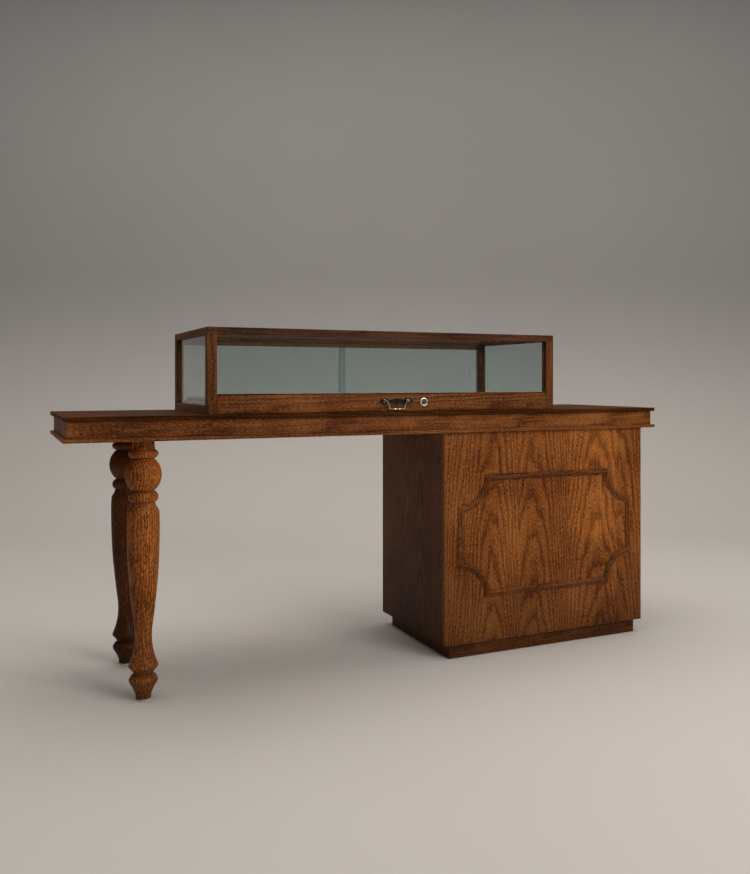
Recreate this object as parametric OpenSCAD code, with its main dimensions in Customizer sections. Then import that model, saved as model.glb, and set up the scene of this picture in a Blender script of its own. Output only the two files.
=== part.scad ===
/* [Counter top] */
// Overall length of the counter
top_l = 2000; // [1900:10:2200]
// Overall depth of the counter
top_d = 500; // [500:5:560]
// Height of the counter surface above the floor
counter_h = 800; // [740:5:900]
// Thickness of the top board
top_board_t = 12; // [10:1:20]
// Thickness of the bottom board
bottom_board_t = 10; // [8:1:16]
// Height of the apron between the two boards
apron_h = 48; // [44:1:70]
// Thickness of the apron boards
apron_t = 20; // [16:1:24]
// How far both boards stand out past the apron
lip = 10; // [6:1:14]
// Thickness of the cross ribs inside the counter
rib_t = 18; // [12:1:24]
// Clear distance between cross ribs, at most
rib_spacing = 420; // [380:10:600]

/* [Turned legs] */
// Distance of the leg centres from the counter's left end
leg_end = 220; // [180:5:300]
// Distance between the front and rear leg centres
leg_spread = 336; // [300:2:360]
// Height of the turned foot, up to the flared collar
foot_h = 94; // [80:1:110]
// Height of the turned head, from the shoulder to the counter
head_h = 204; // [194:1:214]
// Radius of the leg where it meets the counter
leg_neck_r = 31; // [26:1:34]
// Radius of the ball in the head
leg_ball_r = 50.5; // [46:0.5:54]
// Radius of the two beads beside the ball
leg_bead_r = 41.5; // [38:0.5:46]
// Radius of the shaft at its thickest
shaft_r = 45; // [42:0.5:48]
// Radius of the shaft at its waist
waist_r = 24; // [21:0.2:28]
// Radius of the flared collar above the foot
collar_r = 41.5; // [36:0.5:46]
// Radius of the foot ball
foot_ball_r = 40; // [36:0.5:44]
// Radius of the foot's bottom
foot_r = 21.6; // [18:0.2:26]
// Thickness of the nylon glide under the foot
glide_t = 4; // [3:0.5:6]
// Radius of the stud that fixes the leg
stud_r = 5; // [4:0.5:6]
// Length of the stud inside the leg
stud_in_leg = 60; // [40:5:90]
// Side of the square block that takes the stud
leg_block = 90; // [70:5:110]

/* [Cabinet] */
// Width of the cabinet under the counter
cab_w = 800; // [700:10:900]
// Depth of the cabinet
cab_d = 470; // [450:5:480]
// Distance of the cabinet from the counter's right end
cab_end = 50; // [30:5:90]
// Thickness of the cabinet boards
panel_t = 18; // [16:1:22]
// Height of the plinth
plinth_h = 45; // [40:1:80]
// Thickness of the plinth boards
plinth_t = 18; // [14:1:22]
// Recess of the plinth at the sides
plinth_in_side = 24; // [10:1:40]
// Recess of the plinth at the front
plinth_in_front = 12; // [8:1:40]
// Recess of the plinth at the back
plinth_in_back = 30; // [10:1:50]
// Height of the shelf's underside above the floor
shelf_z = 390; // [250:5:500]
// Thickness of the shelf
shelf_t = 18; // [14:1:22]
// Gap between the shelf's front edge and the front panel
shelf_front_gap = 2; // [1:0.5:5]
// Gap between the shelf's back edge and the doors
shelf_back_gap = 22; // [10:1:60]
// Radius of the shelf pins
shelf_pin_r = 2.5; // [2:0.25:4]

/* [Panel moulding] */
// Distance of the moulding from each side of the front panel
mould_side = 50; // [40:1:80]
// Distance of the moulding's lower edge from the cabinet's bottom
mould_low = 145; // [100:5:180]
// Distance of the moulding's upper edge from the cabinet's top
mould_high = 140; // [100:5:180]
// Radius of the hollow corners
mould_corner_r = 100; // [60:5:120]
// Width of the moulding
mould_w = 21; // [16:1:28]
// How far the moulding stands proud
mould_t = 9; // [6:0.5:12]
// Width of the flat shoulder on each side of the bead
mould_step = 5; // [3:0.5:6]
// Height of that shoulder
mould_step_t = 4; // [3:0.5:5]

/* [Cabinet doors] */
// Thickness of the rear doors
door_t = 18; // [16:1:20]
// Gap round each door
door_gap = 3; // [2.4:0.2:5]
// Height of each hinge
hinge_h = 70; // [50:5:90]
// Distance from a door's end to its hinge
hinge_in = 70; // [50:5:110]
// Width of a hinge leaf, from the door's face
hinge_leaf = 16; // [12:0.5:17]
// Radius of the hinge knuckle
knuckle_r = 4; // [3.5:0.25:5]
// Radius of the hinge pin
hinge_pin_r = 1.5; // [1.2:0.1:2]
// Radius of the door knob
knob_r = 12; // [8:1:16]
// How far the knob stands out
knob_out = 13; // [11:0.5:14]
// Distance of the knob from the door's meeting edge
knob_in = 30; // [20:1:60]
// Height of the knobs above the floor
knob_z = 430; // [300:5:550]
// Length of the magnetic catch
catch_l = 46; // [30:2:60]
// Height of the magnetic catch
catch_h = 14; // [10:1:18]
// Depth of the magnetic catch
catch_d = 15; // [10:1:20]
// Thickness of the strike plate
strike_t = 1.5; // [1:0.1:1.6]

/* [Showcase] */
// Width of the glass showcase
case_w = 1186; // [1000:2:1300]
// Depth of the glass showcase
case_d = 462; // [440:2:470]
// Height of the glass showcase
case_h = 250; // [200:5:350]
// Offset of the showcase's middle from the counter's middle
case_x = -20; // [-60:5:60]
// Side of the square corner posts
post = 28; // [26:1:34]
// Width of the top rails
rail_w = 24; // [22:1:28]
// Height of the top rails
rail_h = 21; // [18:1:28]
// Height of the side and back bottom rails
base_rail_h = 24; // [24:1:30]
// Thickness of the glass
glass_t = 5; // [4:0.5:6]
// Distance of the glass from the posts' outer faces
glass_in = 9; // [7:0.5:12]
// Depth of the glass grooves
groove = 6; // [4:0.5:7]
// Clearance of the glass in its grooves
glass_fit = 0.3; // [0.2:0.1:0.5]
// Thickness of the deck board
deck_t = 9; // [6:1:12]
// Thickness of the display pad
pad_t = 13; // [10:1:16]
// Clearance round the display pad
pad_gap = 4; // [2:0.5:8]

/* [Sliding glass doors] */
// Wall thickness of the door tracks
track_wall = 2; // [1.5:0.25:2.5]
// Thickness of the tracks' webs
track_web = 1.5; // [1:0.25:2.5]
// Depth of the lower track's channels
track_low = 5; // [4:0.5:7]
// Depth of the upper track's channels
track_high = 12; // [10:0.5:16]
// Side clearance of a pane in its channel
pane_fit = 0.5; // [0.3:0.1:0.8]
// How far the two panes overlap in the middle
pane_lap = 20; // [10:1:40]
// How far a pane reaches into the upper track
pane_catch = 6; // [4:0.5:7]
// Length of the ground finger recess
grip_l = 60; // [40:2:80]
// Height of the ground finger recess
grip_h = 18; // [12:1:24]
// Depth of the ground finger recess
grip_t = 1.5; // [1:0.1:2]

/* [Drawer] */
// Thickness of the drawer front
front_t = 20; // [18:1:22]
// Height of the drawer front
front_h = 52.5; // [50:0.5:60]
// Gap below the drawer front
front_low_gap = 2; // [1:0.5:3]
// Gap at each end of the drawer front
front_end_gap = 1.5; // [1:0.5:3]
// Gap above the drawer front
front_top_gap = 1; // [0.6:0.1:2]
// Thickness of the sill plate over the drawer front
sill_t = 3; // [2:0.5:5]
// Thickness of the sill's web
sill_web = 8; // [6:0.5:9]
// Depth of the sill's web
sill_drop = 13; // [12:0.5:14]
// Length of the drawer box behind the front
drawer_l = 400; // [300:5:405]
// Height of the drawer's sides
drawer_side_h = 21; // [19:0.5:21]
// Thickness of the drawer's sides and back
drawer_side_t = 10; // [8:1:14]
// Thickness of the drawer's bottom
drawer_bottom_t = 4; // [3:0.5:5]
// Depth of the groove for the drawer's bottom
drawer_groove = 5; // [3:0.5:6]
// Height of the drawer's bottom above its sides' lower edge
drawer_bottom_up = 2.5; // [2:0.5:4]
// Thickness of the velvet liner
liner_t = 2; // [1:0.5:3]
// Room for each drawer slide
slide_room = 12.7; // [12:0.1:14]
// Height of the slides
slide_h = 17; // [14:0.5:17]
// Length of the slides
slide_l = 380; // [250:5:385]
// Sheet thickness of the slides
slide_wall = 1.2; // [1:0.1:1.5]
// Travel of the drawer
drawer_travel = 280; // [200:10:300]

/* [Pull and lock] */
// Height of the pull's pivots above the counter
pull_z = 33; // [31:0.5:35]
// Distance between the pull's two posts
pull_span = 80; // [70:1:90]
// Radius of the round ends of the back plate
plate_end_r = 11.5; // [10:0.5:13]
// Thickness of the back plate
plate_t = 2; // [1.5:0.25:3]
// Length of the plate's pointed tips
plate_tip = 10; // [6:1:14]
// Distance of the pivots from the plate
pull_reach = 8; // [7.5:0.25:9]
// Radius of the pull posts' eyes
eye_r = 4.8; // [4.4:0.1:5.2]
// Radius of the bail's rod
bail_r = 2; // [1.6:0.1:2.2]
// Radius of the bail's pivot ends
bail_pin_r = 1.75; // [1.4:0.05:1.9]
// Drop of the bail below its pivots
bail_drop = 25; // [22:0.5:26]
// Distance between the bail's lower corners
bail_low_w = 48; // [40:1:56]
// Running clearance of the pivots
pivot_fit = 0.08; // [0.04:0.01:0.1]
// Radius of the screws that hold the pull
pull_screw_r = 2; // [1.5:0.1:2.2]
// Distance of the lock from the showcase's middle
lock_x = 98; // [80:1:140]
// Height of the lock above the counter
lock_z = 29; // [28:0.5:30]
// Radius of the lock's flange
lock_flange_r = 13.5; // [11:0.5:14]
// Thickness of the lock's flange
lock_flange_t = 2.5; // [1.5:0.25:3]
// Radius of the lock's barrel
lock_barrel_r = 8.5; // [8:0.25:9]
// Radius of the turning plug
lock_plug_r = 6; // [5:0.25:6.5]
// Width across the flats of the lock nut
lock_nut_w = 22; // [20:1:23]
// Thickness of the lock nut
lock_nut_t = 3; // [2:0.5:4]
// Reach of the cam from the lock's middle
cam_reach = 20; // [18:0.5:22]
// Width of the cam
cam_w = 12; // [10:0.5:14]
// Thickness of the cam
cam_t = 2; // [1.5:0.25:2.5]

/* [Hidden] */

$fn = 48;
wood = "saddlebrown";
wood_dark = "#5a3418";
steel = "silver";
bronze = "#3a3028";
nickel = "#c9c4ba";
velvet = "#5a4742";

// Running gap between faces of neighbouring pieces that move
run = 0.3;
// Small fitting gap between fixed pieces
fit = 0.5;
// Clearance of a stud, pin or screw in its hole
bore = 0.05;
// Thickness of a glue line between boards
glue = 0.05;
// A sliver by which two parts of one solid overlap
eps = 0.01;
// How far a cutting tool runs past the face it cuts
past = 1;

// Heights of the counter's layers
under_z = counter_h - top_board_t - apron_h - bottom_board_t;
apron_z = under_z + bottom_board_t;
apron_top = apron_z + apron_h;

// Edges of the apron ring
apron_x = top_l/2 - lip;
apron_y = top_d/2 - lip;
inner_x = apron_x - apron_t;
inner_y = apron_y - apron_t;

// Legs
leg_x = -top_l/2 + leg_end;
leg_y = leg_spread/2;
block_x1 = leg_x + leg_block/2;

// Marks of the turned profile, as shares of the foot's, the shaft's and the head's height
foot_s = [0, 0.114, 0.227, 0.386, 0.545, 0.682, 0.768, 0.852, 1];
shaft_s = [0, 0.079, 0.155, 0.231, 0.319, 0.454, 0.588, 0.745, 0.875, 0.951, 1];
head_s = [0, 0.036, 0.083, 0.147, 0.289, 0.745, 0.858, 0.925, 1];
throat_r = 25.8;
flare_r = 31;
cove_r = 32.4;
bead_root_r = 28;

// Cross ribs share out the hollow right of the leg blocks
rib_room = inner_x - block_x1;
rib_n = ceil(rib_room/rib_spacing) - 1;
rib_pitch = rib_room/(rib_n + 1);
rib_x = [for (i = [1:rib_n]) block_x1 + i*rib_pitch];

// Cabinet
cab_x1 = top_l/2 - cab_end;
cab_x0 = cab_x1 - cab_w;
cab_xm = (cab_x0 + cab_x1)/2;
cab_y0 = -cab_d/2;
cab_y1 = cab_d/2;
in_x0 = cab_x0 + panel_t;
in_x1 = cab_x1 - panel_t;
in_y0 = cab_y0 + panel_t;
door_y0 = cab_y1 - door_t;
board_y1 = door_y0 - strike_t - run;
door_w = (in_x1 - in_x0 - 3*door_gap)/2;
door_z0 = plinth_h + door_gap;
door_z1 = under_z - door_gap;
hinge_x = in_x0 + door_gap/2;
hinge_y = cab_y1 + knuckle_r + run;
hinge_zs = [door_z0 + hinge_in, door_z1 - hinge_in - hinge_h];
leaf_t = (door_gap - run)/2;
mould_chamfer = 1.5;
bolt_r = 3;
bolt_in = 70;
bolt_head_t = 4;
bolt_up = bottom_board_t - 1;
tee_flange_r = 9;
tee_barrel_r = 4.6;
pin_hole = 10;
pin_in_front = 60;
pin_in_back = 80;
knob_x = cab_xm - door_gap/2 - knob_in;
knob_stem = 12;
knob_screw_r = 3;
knob_edge = 4.5;
catch_in = 30;
catch_x = cab_xm - door_gap/2 - catch_l - catch_in;
catch_z1 = under_z - panel_t;

// Showcase
case_z0 = counter_h;
case_z1 = counter_h + case_h;
case_x0 = case_x - case_w/2;
case_x1 = case_x + case_w/2;
case_y0 = -case_d/2;
case_y1 = case_d/2;
cin_x0 = case_x0 + post;
cin_x1 = case_x1 - post;
cin_y0 = case_y0 + post;
cin_y1 = case_y1 - post;
rail_z = case_z1 - rail_h;
base_z = case_z0 + base_rail_h;
slot_w = glass_t + 2*glass_fit;
glass_y = case_y0 + glass_in;
glass_x = case_x0 + glass_in;
slot_y = glass_y - glass_fit;
slot_x = glass_x - glass_fit;
rebate_w = 10;
rebate_z = case_z1 - glass_t - fit;
reb_x0 = case_x0 + rail_w - rebate_w;
reb_x1 = case_x1 - rail_w + rebate_w;
reb_y0 = case_y0 + rail_w - rebate_w;
reb_y1 = case_y1 - rail_w + rebate_w;
side_reach = min(groove, post - rail_w);
front_back = case_y0 + front_t;
front_z0 = case_z0 + front_low_gap;
front_z1 = front_z0 + front_h;
sill_z0 = front_z1 + front_top_gap;
sill_z1 = sill_z0 + sill_t;
sill_y0 = case_y0 + glass_in - 3;
web_y0 = front_back + 1;
web_y1 = web_y0 + sill_web;
cam_y = web_y1 + fit;
deck_y0 = cam_y + 2*cam_t + 2;
pad_y0 = deck_y0 + 2;
sill_y1 = pad_y0 + 5;
pad_y1 = cin_y1 - pad_gap;
pad_x0 = cin_x0 + pad_gap;
pad_x1 = cin_x1 - pad_gap;
deck_z1 = base_z + deck_t;
deck_x0 = glass_x + glass_t + 1;

// Rings of the display pad: how far each is set in, and its height as a share of the pad's thickness
pad_rings = [[2, 0], [0, 0.22], [1.5, 0.42], [6, 0.58], [16, 0.7], [40, 0.84], [80, 0.95], [120, 1]];
pad_corner = 30;

// Sliding glass doors
lane = glass_t + 2*pane_fit;
track_w = 2*lane + 3*track_wall;
track_y0 = case_y1 - rail_w + (rail_w - track_w)/2;
lane_inner = track_y0 + track_wall + pane_fit;
lane_outer = lane_inner + lane + track_wall;
pane_w = (cin_x1 - cin_x0 - 2*fit + pane_lap)/2;
pane_z0 = base_z + track_web + run;
pane_z1 = rail_z - track_web - track_high + pane_catch;
grip_in = 45;

// Drawer
box_x0 = cin_x0 + slide_room;
box_x1 = cin_x1 - slide_room;
box_z0 = front_z0;
box_z1 = box_z0 + drawer_side_h;
box_y1 = front_back + drawer_l;
bottom_z0 = box_z0 + drawer_bottom_up;
liner_z1 = bottom_z0 + drawer_bottom_t + liner_t;
groove_z0 = bottom_z0 - 0.1;
groove_z1 = bottom_z0 + drawer_bottom_t + 0.1;
bottom_x0 = box_x0 + drawer_side_t - drawer_groove;
bottom_y1 = box_y1 - drawer_side_t + drawer_groove;
slide_z = (case_z0 + base_z)/2;
slide_flange = slide_room - 2.7;

// Pull and lock
pivot_y = case_y0 - plate_t - pull_reach;
pivot_z = case_z0 + pull_z;
keyhole_x = case_x + lock_x;
keyhole_z = case_z0 + lock_z;
collar_t = 1.5;
pull_nut_t = 3;
barrel_l = cam_y - 0.2 - case_y0;
stub_r = 4;
clip_t = 1;
plug_face = lock_flange_t - 1.3;

// A box between two corners
module block(a, b) {
    translate(a) cube([b[0] - a[0], b[1] - a[1], b[2] - a[2]]);
}

// A round bar along Y, from y0 to y1
module bar_y(x, z, y0, y1, r) {
    translate([x, y0, z]) rotate([-90, 0, 0]) cylinder(h = y1 - y0, r = r);
}

// A round bar along X, from x0 to x1
module bar_x(x0, x1, y, z, r) {
    translate([x0, y, z]) rotate([0, 90, 0]) cylinder(h = x1 - x0, r = r);
}

// Its child and the same child mirrored about the plane X = x
module both_x(x) {
    children();
    translate([2*x, 0, 0]) mirror([1, 0, 0]) children();
}

// Counter top: two boards on a ring of apron boards
module top_board() color(wood)
    block([-top_l/2, -top_d/2, apron_top], [top_l/2, top_d/2, counter_h]);

module bottom_board() color(wood) difference() {
    block([-top_l/2, -top_d/2, under_z], [top_l/2, top_d/2, apron_z]);
    for (s = [-1, 1]) translate([leg_x, s*leg_y, under_z - 1])
        cylinder(h = bottom_board_t + 2, r = stud_r + bore);
    for (p = bolt_places()) translate([p[0], p[1], under_z - 1])
        cylinder(h = bottom_board_t + 2, r = tee_barrel_r + 0.1);
}

module apron_front() color(wood)
    block([-apron_x, -apron_y, apron_z], [apron_x, -inner_y, apron_top]);
module apron_back() color(wood)
    block([-apron_x, inner_y, apron_z], [apron_x, apron_y, apron_top]);
module apron_ends() color(wood) both_x(0)
    block([inner_x, -inner_y, apron_z], [apron_x, inner_y, apron_top]);

module cross_ribs() color(wood) for (x = rib_x)
    block([x - rib_t/2, -inner_y, apron_z], [x + rib_t/2, inner_y, apron_top]);

module leg_blocks() color(wood) for (s = [0, 1]) mirror([0, s, 0]) difference() {
    block([leg_x - leg_block/2, leg_y - leg_block/2, apron_z], [block_x1, inner_y, apron_top]);
    translate([leg_x, leg_y, apron_z - past]) cylinder(h = apron_h + 2*past, r = stud_r + bore);
}

// Turned leg: a smooth curve through the turner's marks, with half-round beads and a ball
function curve_at(a, b, c, d, t) =
    0.5*(2*b + (c - a)*t + (2*a - 5*b + 4*c - d)*t*t + (3*b - a - 3*c + d)*t*t*t);
function smooth(p, n) = [for (i = [0:len(p) - 2]) for (k = [0:n - 1])
    curve_at(p[max(i - 1, 0)], p[i], p[i + 1], p[min(i + 2, len(p) - 1)], k/n)];
function swell(r0, r1, r2, z0, z1, n) = [for (k = [0:n - 1]) let (a = 180*k/n)
    [r0 + (r2 - r0)*k/n + (r1 - (r0 + r2)/2)*sin(a), z0 + (z1 - z0)*(1 - cos(a))/2]];
function ball(r0, r1, z0, z1, n) = let (a0 = asin(r0/r1)) [for (k = [0:n - 1])
    let (a = a0 + (180 - 2*a0)*k/n) [r1*sin(a), (z0 + z1)/2 - (z1 - z0)/2*cos(a)/cos(a0)]];

function foot_mark(k, r) = [r, glide_t + (foot_h - glide_t)*foot_s[k]];
function shaft_mark(k, r) = [r, foot_h + (under_z - head_h - foot_h)*shaft_s[k]];
function head_z(k) = under_z - head_h*(1 - head_s[k]);
foot_pts = [foot_mark(0, foot_r), foot_mark(1, foot_r + 0.4), foot_mark(2, foot_r + 3.8),
    foot_mark(3, foot_ball_r - 7.5), foot_mark(4, foot_ball_r), foot_mark(5, foot_ball_r - 4.5),
    foot_mark(6, throat_r)];
flare_pts = [foot_mark(6, throat_r), foot_mark(7, flare_r), foot_mark(8, collar_r)];
shaft_pts = [shaft_mark(0, collar_r), shaft_mark(1, flare_r - 1.3), shaft_mark(2, waist_r + 0.3),
    shaft_mark(3, waist_r), shaft_mark(4, waist_r + 4.7), shaft_mark(5, shaft_r - 9.8),
    shaft_mark(6, shaft_r - 4.4), shaft_mark(7, shaft_r - 1.1), shaft_mark(8, shaft_r),
    shaft_mark(9, shaft_r - 0.1), shaft_mark(10, shaft_r - 0.8)];
cove_pts = [[shaft_r - 0.8, head_z(0)], [cove_r + 9.5, head_z(1)], [cove_r + 3.4, head_z(2)],
    [cove_r, head_z(3)]];
neck_pts = [[leg_neck_r + 2, head_z(6)], [leg_neck_r, head_z(7)], [leg_neck_r, head_z(8)]];
leg_profile = concat(smooth(foot_pts, 3), smooth(flare_pts, 4), smooth(shaft_pts, 3), smooth(cove_pts, 3),
    swell(cove_r, leg_bead_r, bead_root_r, head_z(3), head_z(4), 8),
    ball(bead_root_r, leg_ball_r, head_z(4), head_z(5), 14),
    swell(bead_root_r, leg_bead_r, leg_neck_r + 2, head_z(5), head_z(6), 6),
    smooth(neck_pts, 3), [[leg_neck_r, under_z]]);

module turned_leg(s) color(wood) translate([leg_x, s*leg_y, 0]) difference() {
    rotate_extrude($fn = 96) polygon(concat([[0, glide_t]], leg_profile, [[0, under_z]]));
    translate([0, 0, under_z - stud_in_leg]) cylinder(h = stud_in_leg + 1, r = stud_r + bore);
}
module leg_front() turned_leg(-1);
module leg_rear() turned_leg(1);

module leg_studs() color(steel) for (s = [-1, 1])
    translate([leg_x, s*leg_y, under_z - stud_in_leg])
        cylinder(h = stud_in_leg + bottom_board_t + apron_h, r = stud_r);

module leg_glides() color("ivory") for (s = [-1, 1])
    translate([leg_x, s*leg_y, 0]) cylinder(h = glide_t, r = foot_r);

// Cabinet: boards glued round a plinth, with two doors at the back
module cabinet_front() color(wood)
    block([cab_x0, cab_y0, plinth_h], [cab_x1, in_y0, under_z]);

// Outline of the moulding, set in by d: a rectangle with hollow corners
module mould_outline(d) {
    x0 = cab_x0 + mould_side;
    x1 = cab_x1 - mould_side;
    z0 = plinth_h + mould_low;
    z1 = under_z - mould_high;
    difference() {
        translate([x0 + d, z0 + d]) square([x1 - x0 - 2*d, z1 - z0 - 2*d]);
        for (x = [x0, x1], z = [z0, z1]) translate([x, z])
            circle(r = mould_corner_r + d, $fn = 96);
    }
}
module mould_ring(d0, d1, t) translate([0, cab_y0, 0]) rotate([90, 0, 0]) linear_extrude(height = t)
    difference() {
        mould_outline(d0);
        mould_outline(d1);
    }
module panel_moulding() color(wood_dark) union() {
    mould_ring(0, mould_w, mould_step_t);
    for (s = [0, mould_chamfer])
        mould_ring(mould_step + s, mould_w - mould_step - s, mould_t - mould_chamfer + s);
}

function pin_places() = [for (y = [in_y0 + pin_in_front, board_y1 - pin_in_back]) [y, shelf_z - shelf_pin_r]];

module cabinet_side() difference() {
    block([cab_x0, in_y0, plinth_h], [in_x0, cab_y1, under_z]);
    for (p = pin_places()) bar_x(in_x0 - pin_hole, in_x0 + 1, p[0], p[1], shelf_pin_r + bore);
}
module cabinet_side_left() color(wood_dark) cabinet_side();
module cabinet_side_right() color(wood_dark) translate([2*cab_xm, 0, 0]) mirror([1, 0, 0]) cabinet_side();

function bolt_places() = [for (x = [in_x0 + bolt_in, in_x1 - bolt_in])
    for (y = [in_y0 + bolt_in, board_y1 - bolt_in]) [x, y]];

module cabinet_top() color(wood) difference() {
    block([in_x0, in_y0, under_z - panel_t], [in_x1, board_y1, under_z]);
    for (p = bolt_places()) translate([p[0], p[1], under_z - panel_t - 1])
        cylinder(h = panel_t + 2, r = bolt_r + 0.1);
}

module cabinet_floor() color(wood)
    block([in_x0, in_y0, plinth_h], [in_x1, board_y1, plinth_h + panel_t]);

module shelf() color(wood)
    block([in_x0 + 1, in_y0 + shelf_front_gap, shelf_z],
        [in_x1 - 1, board_y1 - shelf_back_gap, shelf_z + shelf_t]);

module shelf_pins() color(steel) both_x(cab_xm) for (p = pin_places()) {
    bar_x(in_x0 - pin_hole + 1, in_x0 + 1, p[0], p[1], shelf_pin_r);
    block([in_x0 + 0.1, p[0] - 4, p[1] - 5], [in_x0 + 9, p[0] + 4, shelf_z]);
}

module plinth_boards() color(wood_dark) {
    px0 = cab_x0 + plinth_in_side;
    px1 = cab_x1 - plinth_in_side;
    py0 = cab_y0 + plinth_in_front;
    py1 = cab_y1 - plinth_in_back;
    block([px0, py0, 0], [px1, py0 + plinth_t, plinth_h]);
    block([px0, py1 - plinth_t, 0], [px1, py1, plinth_h]);
    for (x = [px0, px1 - plinth_t])
        block([x, py0 + plinth_t + glue, 0], [x + plinth_t, py1 - plinth_t - glue, plinth_h]);
}

module cabinet_bolts() color(steel) for (p = bolt_places()) translate([p[0], p[1], under_z - panel_t]) {
    translate([0, 0, -bolt_head_t]) cylinder(h = bolt_head_t, r = 2*bolt_r);
    cylinder(h = panel_t + bolt_up, r = bolt_r);
}
module tee_nuts() color(steel) for (p = bolt_places()) translate([p[0], p[1], apron_z]) difference() {
    union() {
        cylinder(h = strike_t, r = tee_flange_r);
        translate([0, 0, 1 - bottom_board_t]) cylinder(h = bottom_board_t, r = tee_barrel_r);
    }
    translate([0, 0, -bottom_board_t]) cylinder(h = bottom_board_t + 3, r = bolt_r + bore);
}

// Rear doors, hung on butt hinges at the cabinet's sides
module door_slab() difference() {
    block([in_x0 + door_gap, door_y0, door_z0], [in_x0 + door_gap + door_w, cab_y1, door_z1]);
    bar_y(knob_x, knob_z, cab_y1 - knob_stem - 1, cab_y1 + past, knob_screw_r + bore);
}
module cabinet_door_left() color(wood) door_slab();
module cabinet_door_right() color(wood) translate([2*cab_xm, 0, 0]) mirror([1, 0, 0]) door_slab();

// One leaf of a hinge: side -1 is fixed to the cabinet, side 1 to the door
module hinge_leaf_at(z, side) difference() {
    third = hinge_h/3;
    runs = side < 0 ? [[z, z + third - run/2], [z + 2*third + run/2, z + hinge_h]]
                    : [[z + third + run/2, z + 2*third - run/2]];
    x0 = hinge_x + (side < 0 ? -door_gap/2 : run/2);
    union() {
        block([x0, cab_y1 - hinge_leaf, z], [x0 + leaf_t, cab_y1, z + hinge_h]);
        for (r = runs) {
            block([x0, cab_y1 - 1, r[0]], [x0 + leaf_t, hinge_y, r[1]]);
            translate([hinge_x, hinge_y, r[0]]) cylinder(h = r[1] - r[0], r = knuckle_r);
        }
    }
    translate([hinge_x, hinge_y, z - 1]) cylinder(h = hinge_h + 2, r = hinge_pin_r + bore);
}
module hinge_leaves_fixed() color(bronze) both_x(cab_xm) for (z = hinge_zs) hinge_leaf_at(z, -1);
module hinge_leaves_left() color(bronze) for (z = hinge_zs) hinge_leaf_at(z, 1);
module hinge_leaves_right() color(bronze) translate([2*cab_xm, 0, 0]) mirror([1, 0, 0])
    hinge_leaves_left();
module hinge_pins() color(steel) both_x(cab_xm) for (z = hinge_zs) translate([hinge_x, hinge_y, z]) {
    cylinder(h = hinge_h, r = hinge_pin_r);
    translate([0, 0, hinge_h]) cylinder(h = 1.5, r = knuckle_r - 1);
}

module knob() translate([knob_x, cab_y1, knob_z]) rotate([-90, 0, 0]) {
    translate([0, 0, -knob_stem]) cylinder(h = knob_stem, r = knob_screw_r);
    rotate_extrude($fn = 64) polygon(concat(
        [[0, 0], [knob_r - 4, 0], [knob_r - 4, 1.5], [knob_r - 7, 3], [knob_r - 7, 5]],
        [for (a = [-50:14:90])
            [knob_r - knob_edge + knob_edge*cos(a), knob_out - knob_edge + knob_edge*sin(a)]],
        [[0, knob_out]]));
}
module knob_left() color(bronze) knob();
module knob_right() color(bronze) translate([2*cab_xm, 0, 0]) mirror([1, 0, 0]) knob();

module magnet_catches() color("ivory") both_x(cab_xm)
    block([catch_x, board_y1 - catch_d, catch_z1 - catch_h], [catch_x + catch_l, board_y1, catch_z1]);
module strike_at() block([catch_x + 3, door_y0 - strike_t, catch_z1 - catch_h + 1],
    [catch_x + catch_l - 3, door_y0, catch_z1 - 1]);
module strike_left() color(steel) strike_at();
module strike_right() color(steel) translate([2*cab_xm, 0, 0]) mirror([1, 0, 0]) strike_at();

// Showcase: square posts and rails, grooved for fixed glass
module case_posts() color(wood) both_x(case_x) {
    difference() {
        block([case_x0, case_y0, case_z0], [cin_x0, cin_y0, rail_z]);
        block([cin_x0 - groove, slot_y, sill_z1], [cin_x0 + past, slot_y + slot_w, rail_z + past]);
        block([slot_x, cin_y0 - side_reach, base_z - groove],
            [slot_x + slot_w, cin_y0 + past, rail_z + past]);
    }
    difference() {
        block([case_x0, cin_y1, case_z0], [cin_x0, case_y1, rail_z]);
        block([slot_x, cin_y1 - past, base_z - groove],
            [slot_x + slot_w, cin_y1 + side_reach, rail_z + past]);
    }
}

module top_rail_front() color(wood) difference() {
    block([case_x0, case_y0, rail_z], [case_x1, case_y0 + rail_w, case_z1]);
    block([cin_x0 - groove, slot_y, rail_z - past], [cin_x1 + groove, slot_y + slot_w, rail_z + groove]);
    block([reb_x0, reb_y0, rebate_z], [reb_x1, case_y0 + rail_w + past, case_z1 + past]);
}
module top_rail_back() color(wood_dark) difference() {
    block([case_x0, case_y1 - rail_w, rail_z], [case_x1, case_y1, case_z1]);
    block([reb_x0, case_y1 - rail_w - past, rebate_z], [reb_x1, reb_y1, case_z1 + past]);
}
module top_rails_side() color(wood_dark) both_x(case_x) difference() {
    block([case_x0, case_y0 + rail_w, rail_z], [case_x0 + rail_w, case_y1 - rail_w, case_z1]);
    block([slot_x, case_y0, rail_z - past], [slot_x + slot_w, case_y1, rail_z + groove]);
    block([reb_x0, case_y0, rebate_z], [case_x0 + rail_w + past, case_y1, case_z1 + past]);
}
module base_rails_side() color(wood_dark) both_x(case_x) difference() {
    block([case_x0, cin_y0, case_z0], [cin_x0, cin_y1, base_z]);
    block([slot_x, cin_y0 - past, base_z - groove], [slot_x + slot_w, cin_y1 + past, base_z + past]);
}
module base_rail_back() color(wood_dark)
    block([cin_x0, cin_y1, case_z0], [cin_x1, case_y1, base_z]);

// The sill carries the front glass over the drawer front and stops the lock's cam
module front_sill() color(wood_dark) union() {
    block([cin_x0, sill_y0, sill_z0], [cin_x1, sill_y1, sill_z1]);
    block([cin_x0, web_y0, sill_z0 - sill_drop], [cin_x1, web_y1, sill_z0 + eps]);
}

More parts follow.
